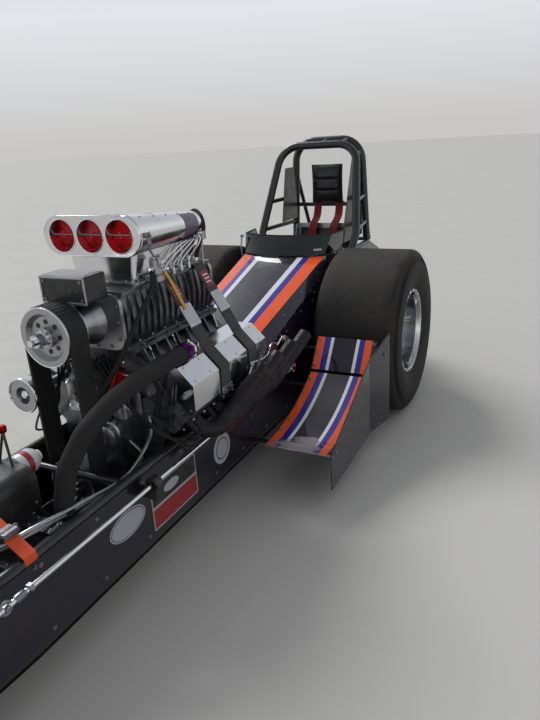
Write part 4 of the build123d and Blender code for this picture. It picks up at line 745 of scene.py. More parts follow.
# Engine
BANK = math.sqrt(0.5)
CRANK_Z, BLOWER_Z = 380, 905
BLOWER_REAR = -1060
BLOWER_REAR_PLATE, BLOWER_FRONT_PLATE = -1044, -1636


def on_bank(side, across, along, back):
    """A place given across and along one bank of cylinders."""
    return Vector((side * (along + across) * BANK, back, CRANK_Z + (along - across) * BANK))


def add_blower_details():
    bolts = Piece("blower_bolts", STEEL)
    stations = [-1096.25 - 75 * i for i in range(7)]
    for x, z, axis, radius in ((138.5, 817, UP, 5.8), (138.5, 993, -UP, 5.8), (153.5, 805, UP, 4)):
        bolts.bolt(grid((-x, x), stations, [z]), axis, radius)
    for back, axis, rows in ((BLOWER_REAR_PLATE, REAR, (822, 988)), (BLOWER_FRONT_PLATE, FRONT, [822])):
        bolts.bolt(grid((-130, 130), [back], (850, 905, 960)) + grid((-90, -30, 30, 90), [back], rows), axis,
                   5.8)
    bolts.bolt(around((0, BLOWER_REAR_PLATE + 8, BLOWER_Z), REAR, 58, 10), REAR, 4.2)
    burst = Piece("blower_relief_plate", MACHINED)
    burst.lathe([(0, 70), (7, 70), (8, 68), (8, 46), (3, 44), (3, 0)], (0, BLOWER_REAR_PLATE, BLOWER_Z), REAR,
                48)
    burst.lathe([(0, 24), (12, 24), (14, 21), (14, 0)], grid((-98, 98), [BLOWER_REAR_PLATE], [865]), REAR, 28)
    finish_pieces(bolts, burst)


def add_fuel_lines():
    """Bright hard lines that fan out from a block behind the hat to the nozzles along the blower."""
    block_place = Vector((158, -1122, 1112))
    block = Piece("line_block", MACHINED)
    block.block(block_place - Vector((16, 16, 16)), block_place + Vector((16, 16, 16)), 3)
    block.tube([(150, -1112, 1000), (155, -1116, 1100)], 6, 12)
    lines = Piece("nozzle_lines", CHROME)
    fittings = Piece("line_fittings", CHROME)
    for i in range(5):
        start = block_place + Vector((12 - 6 * i, -14, 10 - 6 * i))
        end = Vector((150, -1210 - 52 * i, 1022))
        crest = (start + end) / 2 + Vector((26 - 3 * i, 4 * i, 28 + 4 * i))
        lines.tube(flowing([start, start + Vector((4, -30, 4)), crest, end + Vector((2, 12, 24)), end]), 2.6,
                   8)
        fittings.fitting(end + Vector((-1, 0, -18)), (0.1, 0, 1), 6.2, 20)
        fittings.fitting(start, (0.1, -1, 0.1), 5.6, 16)
    for side in MIRROR:
        for back in (-1130, -1270, -1410, -1550):
            low = on_bank(side, -98, 372, back)
            start = Vector((side * 163, back, 795))
            lines.tube(flowing([start, start + Vector((side * 22, -6, 6)), low + Vector((side * 4, 0, 35)),
                                low]), 2.6, 8)
            fittings.fitting(low, (side * 0.3, 0, 1), 6, 18)

    # Barrel valve on the hat's left front corner, its linkage and its brass lead
    valve = Piece("barrel_valve", MACHINED)
    valve.lathe([(0, 17), (4, 19), (52, 19), (56, 16), (62, 16), (62, 0)], (172, -1452, 1030), UP, 28)
    valve.block((140, -1475, 1005.5), (196, -1428, 1030), 4)
    valve.tube([(215.5, -1538, 1146), (205, -1500, 1105), (190, -1455, 1094)], 3.5)
    valve.plate(rounded(14, 46, 6), (191, -1455, 1080), (1, 0, 0.1), 4)
    valve.bolt([(195, -1455, 1066), (195, -1455, 1096)], (1, 0, 0.1), 4)
    for place, axis in (((172, -1471, 1052), (0.35, -1, 0.2)), ((188, -1445, 1040), (1, 0.2, 0.4)),
                        ((172, -1433, 1060), (0.2, 1, 0.3))):
        fittings.fitting(place, axis, 8.5, 30)
    lead = Piece("brass_lead", BRASS)
    lead.tube(flowing([(188, -1436, 1044), (196, -1425, 1020), (207, -1413, 985), (232, -1412, 935),
                       (250, -1412, 900)]), 7.5, 12)
    loop = Piece("hat_vacuum_hose", HOSE_RUBBER)
    loop.tube(flowing([(60, -1122, 1150), (66, -1070, 1172), (96, -1055, 1196), (140, -1082, 1180),
                       (164, -1105, 1140),
                       (160, -1120, 1105), (148, -1135, 1062), (140, -1150, 1012)]), 8.5, 12)
    clamps = Piece("hat_hose_clamps", CHROME)
    clamps.lathe([(0, 10.6), (11, 10.6)], (140.9, -1148, 1020), (0.12, 0.1, 1), 20)
    clamps.lathe([(0, 10.6), (11, 10.6)], (60, -1106, 1151.5), (0.1, 1, 0.3), 20)
    clamps.lathe([(0, 12.5), (4, 12.5), (8, 9.5), (14, 9.5)], (140, -1150, 1005.2), UP, 20)
    finish_pieces(block, lines, valve, fittings, lead, loop, clamps)


# Blower straps, from the hat's base down to the heads
STRAP_HIGH, STRAP_LOW = Vector((156, 0, 1008)), Vector((308.2, 0, 748.2))
STRAP_STATIONS = (-1375, -1160)
STRAP_HALF = 31


def strap_facing(side):
    down = (STRAP_LOW - STRAP_HIGH).normalized()
    return Vector((side * -down.z, 0, down.x))


def on_strap(side, back, way, lift=2.1):
    """A place on a strap, from 0 at its upper end to 1 at its foot."""
    place = STRAP_HIGH.lerp(STRAP_LOW, way)
    return Vector((side * place.x, back, place.z)) + strap_facing(side) * lift


def add_strap_details():
    plates = Piece("strap_plates", MACHINED)
    rivets = Piece("strap_rivets", CHROME)
    red = Piece("strap_patches", RED_STRAP)
    white = Piece("strap_patch_bars", WHITE_PAINT)
    edging = Piece("strap_edging", BLACK_PARTS)
    buckles = Piece("strap_buckles", STEEL)
    for side, back in itertools.product(MIRROR, STRAP_STATIONS):
        out = strap_facing(side)
        plates.plate(rounded(70, 88, 4), on_strap(side, back, 0.545), out, 4, 1)
        rivets.rivet([on_strap(side, back + x, way, 6) for x in (-27, 27) for way in (0.43, 0.66)], out, 4.8)
        red.plate(rounded(50, 66, 3), on_strap(side, back, 0.215), out, 1.6, 0.4)
        bars = [on_strap(side, back, way, 3.6) for way in (0.165, 0.215, 0.265)]
        white.plate(rounded(34, 6, 1.5), bars, out, 0.8, 0.3)
        for edge in (back - STRAP_HALF, back + STRAP_HALF):
            edging.tube([on_strap(side, edge, 0.02, 0), on_strap(side, edge, 0.99, 0)], 2.6, 8)
        for way in (0.70, 0.73, 0.93, 0.96):
            edging.tube([on_strap(side, back - 28, way, 2), on_strap(side, back + 28, way, 2)], 0.9, 6)
        # Floor hook over the head's outer edge, and the bar that holds the strap down on the blower's flange
        buckles.plate(rounded(70, 30, 4), (side * 368.5, back, 600), (side, 0, 0), 6, 1.2)
        buckles.bolt(grid([side * 374.5], (back - 22, back + 22), [600]), (side, 0, 0), 5.5)
        buckles.block((side * 143 - 8, back - 40, 1009.5), (side * 143 + 8, back + 40, 1017.5))
        buckles.bolt(grid([side * 143], (back - 34, back + 34), [1017.5]), UP, 5)
    finish_pieces(plates, rivets, red, white, edging, buckles)


# Heads: port bolts and beads, cover gaskets, plugs and their wires
HEAD_ALONG = 322
PORT_STATIONS = (-1100, -1240, -1380, -1520)
PLUG_STATIONS = (-1170, -1310, -1450, -1573)


def add_head_details():
    bolts = Piece("head_bolts", STEEL)
    gaskets = Piece("cover_gaskets", SEAM_AND_HOLE_SHADE)
    beads = Piece("header_lips", PIPES)
    boots = Piece("plug_boots", HOSE_RUBBER)
    wires = Piece("plug_wires", HOSE_RUBBER)
    for side in MIRROR:
        out = Vector((side * BANK, 0, -BANK))
        for back in PORT_STATIONS:
            bolts.bolt([on_bank(side, 113, HEAD_ALONG + along, back + x) for along in (-31, 31)
                        for x in (-36, 36)],
                       out, 5.5)
            end = Vector((side * 430, back + 320, 625))
            direction = (end - on_bank(side, 205, HEAD_ALONG, back)).normalized()
            beads.ring(end - direction, direction, 28.8, 1.9, 32)
            beads.ring(on_bank(side, 115, HEAD_ALONG, back), out, 31.2, 2.8, 32)
        rows = [on_bank(side, across, 474, -1075 - 96 * i) for i in range(6) for across in (-30, 30)]
        bolts.rivet(rows, (side, 0, 1), 3.2)
        for across, along in ((-105.8, 378), (-104.8, 265), (105.8, 378), (104.8, 265)):
            gaskets.tube([on_bank(side, across, along, -1037), on_bank(side, across, along, -1583)], 1.4, 6)
        # Oil return and breather fittings on the covers' front ends
        bolts.fitting(on_bank(side, 45, 430, -1584), FRONT, 12, 30)
        for i, back in enumerate(PLUG_STATIONS):
            plug = on_bank(side, 105, 345, back)
            boots.lathe([(0, 11.5), (22, 10.5), (50, 7.5), (52, 0)], plug, out, 16)
            cap = Vector((-30 + side * 40, -1689 + 26 * i, 742))
            wires.tube(flowing([
                plug + out * 46, plug + out * 66 + Vector((0, -12, -6)),
                (side * (352 - 6 * i), back - 75, 474 - 8 * i), (side * (290 + 5 * i), -1596, 486 - 10 * i),
                (side * 170, -1664 - 6 * i, 600 + 10 * i), cap + Vector((side * 30, -10, 30)), cap + UP * 12,
            ]), 4.2, 8)
            boots.lathe([(-14, 8.5), (6, 8.5), (18, 6), (20, 0)], cap, UP, 14)
    finish_pieces(bolts, gaskets, beads, boots, wires)

    probes = Piece("exhaust_probes", CHROME)
    for side in MIRROR:
        for line in (
            [(404, -1285, 598), (412, -1235, 650), (408, -1165, 640), (405, -1100, 640), (400, -1055, 668),
             (396, -975, 645)],
            [(408, -1020, 652), (404, -955, 668), (400, -905, 645), (402, -865, 614)],
        ):
            probes.tube(flowing([(side * x, back, z) for x, back, z in line]), 2.6, 8)
        for back, z in ((-1235, 652), (-960, 668)):
            probes.block((side * 408 - 6, back - 8, z - 8), (side * 408 + 6, back + 8, z + 6))
    probes.done()


def add_engine_end_details():
    """Core plugs, studs and a cover plate on the ends of the heads and the manifold."""
    plugs = Piece("core_plugs", MACHINED)
    studs = Piece("engine_end_studs", STEEL)
    for side in MIRROR:
        for back, facing in ((-1036, REAR), (-1584, FRONT)):
            plugs.lathe([(0, 19), (3.5, 19), (3.5, 15.5), (1.2, 14), (1.2, 0)],
                        [on_bank(side, across, HEAD_ALONG, back) for across in (-52, 30)], facing, 28)
            studs.bolt([on_bank(side, across, along, back) for across in (-88, -11, 75)
                        for along in (282, 362)],
                       facing, 4.8)
            studs.rivet([on_bank(side, across, 396, back) for across in (-92, 92)], facing, 3.4)
    rear = Piece("manifold_rear_plate", MACHINED)
    rear.plate(rounded(196, 72, 14), (0, BLOWER_REAR, 703), REAR, 6)
    studs.bolt(grid((-84, -28, 28, 84), [BLOWER_REAR + 6], (680, 726)), REAR, 4.8)
    finish_pieces(plugs, studs, rear)


# Belt drive: teeth, pulley faces and idler
BELT_FRONT = -1829
BELT_WIDTH = 78
TOOTH_PITCH = 14.2
UPPER_TURN, LOWER_TURN = 101, 93


def add_tooth(teeth, place, along, out):
    """One tooth across the belt: it lies along the belt at a place and stands outward."""
    section = [place - along * 3.5, place + along * 3.5, place + along * 2.1 + out * 1.9,
               place - along * 2.1 + out * 1.9]
    teeth.loft([section, [corner + REAR * (BELT_WIDTH - 2) for corner in section]])


def add_belt_teeth():
    teeth = Piece("belt_teeth", BELT)
    upper, lower = Vector((0, BELT_FRONT + 1, BLOWER_Z)), Vector((0, BELT_FRONT + 1, CRANK_Z))
    lean = math.asin((UPPER_TURN - LOWER_TURN) / (BLOWER_Z - CRANK_Z))
    for centre, radius, start, end in ((upper, UPPER_TURN, lean, math.pi - lean),
                                       (lower, LOWER_TURN, math.pi - lean, math.tau + lean)):
        count = int(radius * (end - start) / TOOTH_PITCH)
        for i in range(count + 1):
            turn = start + (end - start) * i / count
            out = Vector((math.cos(turn), 0, math.sin(turn)))
            add_tooth(teeth, centre + out * (radius - 0.5), Vector((-out.z, 0, out.x)), out)
    for side in MIRROR:
        out = Vector((side * math.cos(lean), 0, math.sin(lean)))
        low = lower + out * LOWER_TURN
        run = upper + out * UPPER_TURN - low
        for i in range(1, int(run.length / TOOTH_PITCH)):
            add_tooth(teeth, low + run * i * TOOTH_PITCH / run.length - out * 0.5, run.normalized(), out)
    teeth.done()


def add_pulley_details():
    faces = Piece("pulley_details", CHROME)
    dark = Piece("pulley_hole_shade", SEAM_AND_HOLE_SHADE)
    for z, radius, holes in ((BLOWER_Z, 97.5, 8), (CRANK_Z, 89.5, 6)):
        faces.ring((0, BELT_FRONT - 5, z), FRONT, radius, 2.2, 64)
        # Dark discs on each pulley face: painted shade for its lightening holes
        dark.plate(circle(8.5, 18), around((0, BELT_FRONT + 9.5, z), FRONT, 49, holes), FRONT, 0.8)
        faces.bolt(around((0, BELT_FRONT - 8, z), FRONT, 24, holes, 0.4), FRONT, 3.8)
    faces.lathe([(0, 22), (2, 21.5), (2, 12), (-20, 12)], (0, BELT_FRONT - 48, BLOWER_Z), REAR, 6)
    faces.lathe([(0, 24), (10, 24), (11, 22.5)], (0, BELT_FRONT - 10, BLOWER_Z), FRONT)
    idler = Vector((-148.7, BELT_FRONT - 7, 690))
    faces.ring(idler, REAR, 60, 3.5, 56)
    faces.ring(idler + REAR * 6, REAR, 34, 3, 40)
    faces.lathe([(0, 17), (22, 17), (26, 12), (26, 0)], idler + REAR * 31, FRONT, 6)
    faces.bolt(grid((-166.7, -130.7), [-1612.6], (560, 650)), FRONT, 5.5)
    finish_pieces(faces, dark)


def add_drive_box_details():
    """Bright rims, a grooved lid and bolts."""
    rims = Piece("drive_box_rims", MACHINED)
    for z in (994.5, 1076.5):
        rims.block((-77, -1742.5, z - 4), (107, -1736.5, z + 4), 1.5)
    for x in (-77, 101):
        rims.block((x, -1742.5, 994.5), (x + 6, -1736.5, 1076.5), 1.5)
    rims.block((-77, -1742, 1079.2), (107, -1640, 1081.2), 1)
    for i in range(10):
        rims.block((-70, -1736 + 9.5 * i, 1080.5), (100, -1731 + 9.5 * i, 1084), 1)
    studs = Piece("drive_box_bolts", STEEL)
    studs.bolt(grid((-60, 92), [-1740.5], (1006, 1064)), FRONT, 4.5)
    studs.rivet(grid((-45, 0, 45, 75), [-1740.5], [1035]), FRONT, 3)
    finish_pieces(rims, studs)


def add_engine_front_details():
    """Magneto cap and clamp, red regulator, pump, fittings and hoses ahead of the motor plate."""
    cap = Piece("magneto_cap", BLACK_PARTS)
    cap.lathe([(0, 50), (4, 52), (10, 50), (12, 0)], (-30, -1650, 730.5), UP, 40)
    cap.lathe([(0, 63.5), (10, 63.5)], (-30, -1650, 655), UP, 40)
    regulator = Piece("pressure_regulator", RED)
    low, axis = Vector((95, -1668, 668)), Vector((0.46, 0.04, 0.88))
    regulator.lathe([(0, 18), (3, 21), (90, 21), (94, 18), (94, 0)], low, axis)
    regulator.ring([low + axis * 20, low + axis * 75], axis, 21, 1.4, 32, 6)
    pump = Piece("fuel_pump", MACHINED)
    pump.lathe([(0, 30), (6, 46), (30, 46), (34, 40), (60, 40), (64, 32), (64, 0)], (60, -1669, 520),
               (0.25, -1, 0), 40)
    pump.block((75, -1664, 560), (125, -1625, 640), 5)
    pump.plate(rounded(50, 90, 8), (128, -1600, 600), FRONT, 8)
    pump.bolt(around((66, -1699, 520), FRONT, 36, 6), (0.25, -1, 0), 4)
    pump.tube([(110, -1645, 640), (102, -1664, 672)], 12, 14)
    fittings = Piece("front_fittings", CHROME)
    for place, axis in (((150, -1660, 735), (0.6, -0.5, 0.5)), ((138, -1655, 764), (0.2, -0.3, 1)),
                        ((104, -1668, 655), (0.5, -1, -0.1)), ((118, -1640, 604), (0.9, -0.3, 0)),
                        ((60, -1712, 560), (0, -0.3, 1)), ((35, -1700, 480), (-0.3, -0.4, -1))):
        fittings.fitting(place, axis, 10, 32)
    hoses = Piece("fuel_hoses", HOSE_RUBBER)
    for line in (
        [(60, -1716, 580), (62, -1730, 640), (118, -1720, 720), (160, -1680, 800), (176, -1600, 900),
         (178, -1500, 985),
         (176, -1478, 1046)],
        [(28, -1712, 462), (15, -1760, 400), (30, -1860, 330), (60, -1970, 340), (70, -2045, 420),
         (70, -2062, 480)],
        [(160, -1668, 748), (200, -1690, 760), (232, -1640, 730), (236, -1602, 660), (205, -1602, 560)],
    ):
        hoses.tube(flowing(line), 8.5, 12)
    finish_pieces(cap, regulator, pump, fittings, hoses)


# Ahead of the engine: hose clamps and collar, bottle, tank strap, tank bolts and braided lines
TANK_STRAP = ((262, 432), (258, 462), (160, 530), (112, 560), (85, 589), (60, 593.5))


def add_front_bay_details():
    bands = Piece("hose_clamps", CHROME)
    bands.lathe([(0, 31.8), (12, 31.8)], (290, -1486, 774.6), REAR, 36)
    bands.lathe([(0, 31.8), (12, 31.8)], (193.4, -2062, 345), UP, 36)
    bands.block((284, -1486, 805.5), (296, -1474, 813.5))
    collar = Piece("hose_collar", PURPLE)
    collar.lathe([(0, 32.5), (4, 34.5), (14, 34.5), (18, 32.5)], (290, -1512, 774.6), REAR, 12)
    collar.lathe([(0, 33.5), (5, 33.5)], (290, -1524, 774.6), REAR, 36)
    collar.lathe([(0, 11), (6, 11), (8, 8), (14, 8)], (316, -1503, 790), (0.9, 0, 0.5), 8)
    bottle = Piece("catch_bottle", WHITE_PAINT)
    centre = (20, -2058.5, 566)
    bottle.lathe([(0, 34), (8, 38), (60, 38), (74, 30), (80, 18), (92, 18), (92, 0)], centre, REAR, 36)
    band = Piece("bottle_band", RED_PAINT)
    band.lathe([(22, 38.7), (42, 38.7)], centre, REAR, 36)
    bracket = Piece("filler_bracket", BLACK_PARTS)
    for x in (-22, 30):
        bracket.tube([(x, -2075, 588), (4, -2062, 690)], 4.2)
    bracket.lathe([(0, 34), (6, 36), (16, 36), (18, 32), (18, 0)], (0, -2200, 589), UP)
    caps = Piece("red_caps", RED)
    caps.lathe([(0, 11), (4, 13), (18, 13), (22, 9), (22, 0)], (4, -2062, 686), UP, 16)
    for i in range(3):
        caps.ring((0, -2200, 604.5 + 3.5 * i), UP, 29 - 4 * i, 2.4, 28, 6)
    strap = Piece("tank_strap", ORANGE_STRAP)
    strap.ribbon([(x, -2262, z) for x, z in TANK_STRAP] + [(-x, -2262, z) for x, z in reversed(TANK_STRAP)],
                 REAR, 42, 2.6)
    buckles = Piece("tank_strap_buckles", DARK_CAST)
    bolts = Piece("tank_bolts", STEEL)
    for side in MIRROR:
        buckles.block((side * 190 - 22, -2290, 508), (side * 190 + 22, -2234, 524), 4)
        buckles.tube([(side * 190, -2296, 520), (side * 190, -2228, 520)], 6, 12)
        buckles.bolt((side * 265.5, -2262, 425), (side, 0, 0))
        bolts.bolt(grid((side * 232, side * 150), (-2158, -2122), [462.8]), UP, 5.5)
        bolts.rivet(grid([side * 105], (-2310, -2200, -2080), [480]), (side, 0, 0), 5)
    braid = Piece("braided_lines", MACHINED)
    for line in (
        [(90, -2325, 500), (110, -2360, 500), (160, -2300, 470), (206, -2200, 478), (212, -2020, 452),
         (205, -1800, 420),
         (170, -1660, 430), (110, -1640, 470)],
        [(78, -2332, 520), (105, -2375, 520), (170, -2310, 488), (216, -2190, 494), (220, -2020, 468),
         (214, -1800, 440),
         (200, -1640, 500), (178, -1600, 560)],
    ):
        braid.tube(flowing(line), 6.2)
    finish_pieces(bands, collar, bottle, band, bracket, caps, strap, buckles, bolts, braid)


add_slicks()
add_rear_wheel_details()
for side, name in SIDES:
    add_front_wheel(side, name)
add_hat_details()
add_blower_details()
add_fuel_lines()
add_strap_details()
add_head_details()
add_engine_end_details()
add_belt_teeth()
add_pulley_details()
add_drive_box_details()
add_engine_front_details()
add_front_bay_details()


# Body panels: fasteners, seams and bare decals
PANEL_X = 265.3
RAIL_LINE = ((-2300, 440), (-1040, 440), (-870, 530), (-110, 743), (250, 770), (700, 770))


def rail_height(back):
    """Height of the upper frame rail at a station."""
    for (b0, z0), (b1, z1) in zip(RAIL_LINE, RAIL_LINE[1:]):
        if b0 <= back <= b1:
            return z0 + (z1 - z0) * (back - b0) / (b1 - b0)


def nose_section(back):
    """Half width of the nose at a station, and the heights of its foot, shoulder and crest."""
    if back > -5400:
        way = (back + 5400) / 2657
        return 142.3 + 105.4 * way, 212.7 - 51.4 * way, 374 + 86 * way, 412 + 100 * way
    way = (back + 5400) / 230
    return 142.3 + 80.3 * way, 212.7 - 49.3 * way, 374 + 56 * way, 412 + 78 * way


def add_panel_details():
    studs = Piece("panel_fasteners", STEEL)
    seams = Piece("panel_seams", SEAM_AND_HOLE_SHADE)
    stations = [-2240 + 225 * i for i in range(14)]
    # The fourth place of the lower row is left free, because a decal covers it
    places = grid([PANEL_X], stations[:3] + stations[4:], [207]) + grid([PANEL_X], stations[:6], [418])
    places += [(PANEL_X, back, rail_height(back) - 22) for back in (-800, -620, -440, -260, 300, 450, 600)]
    studs.fastener(places, LEFT)
    for back in (-1040, -300, 120):
        rail = rail_height(back)
        half = (rail - 190) / 2
        seams.plate([(-1.2, -half), (1.2, -half), (1.2, half), (-1.2, half)],
                    (PANEL_X, back, (rail + 186) / 2),
                    LEFT, 0.5, 0.1)
        studs.fastener(grid([PANEL_X], [back + 14], (240, 95 + rail / 2, rail - 50)), LEFT, 6)
    # Nose shell: rows along its foot and under its shoulder
    for back in range(-5250, -2800, 302):
        half, foot, shoulder, _ = nose_section(back)
        studs.fastener(grid([half + 0.2], [back], (foot + 26, shoulder - 20)), (1, -0.04, 0), 7)
    studs.fastener(grid([247.5], [-2757], (200, 280, 360, 430)), LEFT, 6)
    studs.mirror()
    seams.mirror()
    # Joints across the nose, each with a fastener row behind it
    for back in (-5430, -4100):
        half, foot, shoulder, crest = nose_section(back)
        rise = crest - shoulder
        radius = (half * half + rise * rise) / (2 * rise)
        reach = math.asin(half / radius)
        turns = [reach - 2 * reach * k / 16 for k in range(1, 16)]
        outs = [Vector((math.sin(turn), 0, math.cos(turn))) for turn in turns]
        crown = [Vector((0, back, crest - radius)) + out * radius for out in outs]
        seams.tube([(half, back, foot), (half, back, shoulder), *crown, (-half, back, shoulder),
                    (-half, back, foot)],
                   1.2, 6)
        for place, out in list(zip(crown, outs))[1::2]:
            studs.fastener(place + Vector((0, 20, 0.6)), out + FRONT * 0.05, 6.5)
    finish_pieces(seams, studs)


def add_decals():
    """Bare decals: an oval, a ring and a field with two bars on each side."""
    pale = Piece("bare_decals_pale", PALE_FACE)
    dark = Piece("bare_decals_dark", SEAM_AND_HOLE_SHADE)
    red = Piece("bare_decals_red", RED_PAINT)
    field = Vector((PANEL_X - 0.2, -1620, 288.5))
    ellipse, ring = (field.x, -1885, 319), (field.x, -1286, 291)
    for piece, outline, place, thick in (
        (pale, oval(91, 47.5, 48), ellipse, 0.6), (dark, oval(85, 42.5, 48), ellipse, 0.9),
        (pale, oval(82, 40, 48), ellipse, 1.2), (dark, circle(69, 48), ring, 0.6),
        (pale, circle(64, 48), ring, 0.9),
        (dark, circle(46, 48), ring, 1.2), (pale, circle(41, 48), ring, 1.5),
        (pale, rounded(278, 165, 6), field, 0.6),
        (dark, rounded(268, 72, 4), field + UP * 41, 0.9),
        (pale, oval(46, 19), field + Vector((0, -20, 40)), 1.2),
        (red, rounded(268, 72, 4), field - UP * 41, 0.9),
    ):
        piece.plate(outline, place, LEFT, thick, 0.2)
    for piece in (pale, dark, red):
        piece.mirror().done()


def cowl_height(back):
    """Height of the edge of the cowl's crown."""
    return 592.5 + 231.5 * (back + 870) / 834


def add_cowl_details():
    studs = Piece("cowl_fasteners", STEEL)
    for back in range(-840, -90, 107):
        studs.fastener((PANEL_X, back, (cowl_height(back) - 48 + rail_height(back)) / 2), LEFT, 6)
    for back in range(-800, -100, 210):
        half = 208 + 34 * (back + 870) / 834
        studs.fastener(((half + PANEL_X) / 2, back, cowl_height(back) - 24), (48, -13.3, PANEL_X - half), 6.5)
    studs.mirror()
    for x in (-170, -85, 0, 85, 170):
        crown = 20 * (1 - (x / 208) ** 2)
        studs.fastener((x, -852, cowl_height(-852) + crown), (x * 0.00019, -0.267, 0.963), 6.5)
    emblem = Piece("cowl_emblem", BARE_LABEL)
    rim = Piece("cowl_emblem_rim", BRASS)
    place, facing = Vector((-68, -762, cowl_height(-762) + 18.3)), (-0.012, -0.267, 0.963)
    emblem.lathe([(-1, 26), (1, 26), (1.4, 24), (1.4, 0)], place, facing, 40)
    rim.ring(place + UP * 0.8, facing, 26.2, 1.4, 48, 6)
    finish_pieces(studs, emblem, rim)


# Windscreen: edging, foot strip, screws, blank plate and side stay
SCREEN_SAG = 75
SCREEN_FLARE = 19


def screen_line(front, half, rear, z, lift):
    """Places round the screen in plan, from right rear to left rear, each with the way it faces."""
    radius = (half * half + SCREEN_SAG * SCREEN_SAG) / (2 * SCREEN_SAG)
    reach = math.asin(half / radius)
    bow = []
    for i in range(25):
        turn = -reach + 2 * reach * i / 24
        out = Vector((math.sin(turn), -math.cos(turn), 0))
        bow.append((Vector((0, front + radius, z)) + out * (radius + lift), out))
    corner = front + SCREEN_SAG
    left, right = ([(Vector((side * (half + lift + SCREEN_FLARE * t), corner + (rear - corner) * t, z)),
                     Vector((side, -0.1, 0))) for t in (1.0, 0.75, 0.5, 0.25)] for side in MIRROR)
    return right + bow + left[::-1]


def add_screen_details():
    edging = Piece("screen_edging", HOSE_RUBBER)
    edging.tube([place for place, _ in screen_line(-50, 262, 180, 930.2, -2)], 4.2)
    for side in MIRROR:
        edging.tube([(side * 280.5, 180, 930), (side * 260.5, 205.2, 834), (side * 260.5, 205.2, 800)], 4.2)
        edging.tube([(side * 263.8, -30, 805.2), (side * 263.8, 226, 805.2)], 4)
    foot = screen_line(-110, 243, 205, 804, 0.2)
    strip = Piece("screen_foot_strip", BLACK_PARTS)
    strip.loft([[place, place + out * 2.4, place + out * 2.4 + UP * 22, place + UP * 22]
                for place, out in foot])
    screws = Piece("screen_screws", CHROME)
    for i in (0, 2, 4, 7, 10, 13, 16, 19, 22, 25, 28, 30, 32):
        place, out = foot[i]
        screws.rivet(place + out * 2.4 + UP * 11, out, 5.2)
    label = Piece("screen_blank_plate", PALE_FACE)
    facing = Vector((0.447, -0.76, 0.47)).normalized()
    label.plate(rounded(44, 13, 2), Vector((207.5, -49.5, 857.5)) + facing * 0.5, facing, 1, 0.2)
    stay = Piece("screen_stay", STEEL)
    stay.tube([(-266, -28, 776), (-272, -26, 860), (-270, -12, 918)], 4)
    stay.lathe([(0, 7), (3, 10), (14, 10), (16, 7), (16, 0)], (-270, -12, 912), (0, 0.2, 1), 16)
    finish_pieces(edging, strip, screws, label, stay)


# Cockpit
CUSHION_ROWS, CUSHION_COLUMNS = 44, 26
CUSHION_CORNERS = ((-1, -1), (1, -1), (1, 1), (-1, 1))


def on_cushion(place, along, half_width, half_length, a, b):
    """A place on a cushion's plane, from -1 to 1 across and along. Its sides pull in between the corners."""
    return (Vector(place) + LEFT * a * (1 - 0.035 * (1 - b * b)) * half_width
            + along * b * (1 - 0.02 * (1 - a * a)) * half_length)


def add_cushion(name, place, along, half_width, half_length, thick, channels):
    """A crowned pad with channels sewn across it, and piping round its edge."""
    along = Vector(along).normalized()
    facing = LEFT.cross(along)
    piece = Piece(name, VINYL, crease=80)
    rings = []
    for j in range(CUSHION_ROWS + 1):
        b = -1 + 2 * j / CUSHION_ROWS
        sewn = 1 - 0.42 * sum(math.exp(-((b - k) / 0.035) ** 2) for k in channels)
        top, bottom = [], []
        for i in range(CUSHION_COLUMNS + 1):
            a = -1 + 2 * i / CUSHION_COLUMNS
            swell = (max(0, 1 - abs(a) ** 3.2) ** 0.55) * (max(0, 1 - abs(b) ** 3.6) ** 0.55)
            flat = on_cushion(place, along, half_width, half_length, a, b)
            wrinkle = 1.5 * noise.noise(Vector((a * 3.1, b * 5.3, thick * 0.04)))
            top.append(flat + facing * (thick * swell * sewn + wrinkle * swell))
            if 0 < i < CUSHION_COLUMNS:
                bottom.append(flat - facing * thick * 0.22 * swell)
        rings.append(top + bottom[::-1])
    cushion = piece.loft(rings).done()
    piping = Piece(f"{name}_piping", BLACK_PARTS)
    border = []
    for (a0, b0), (a1, b1) in zip(CUSHION_CORNERS, CUSHION_CORNERS[1:] + CUSHION_CORNERS[:1]):
        border += [on_cushion(place, along, half_width, half_length, a0 + (a1 - a0) * k / 12,
                              b0 + (b1 - b0) * k / 12)
                   for k in range(12)]
    piping.tube(border, 3.6, 8, closed=True).done()


def back_plane(z, ahead):
    """The station of a place ahead of the seat's back."""
    return 552 + (z - 194) * 0.1133 - ahead


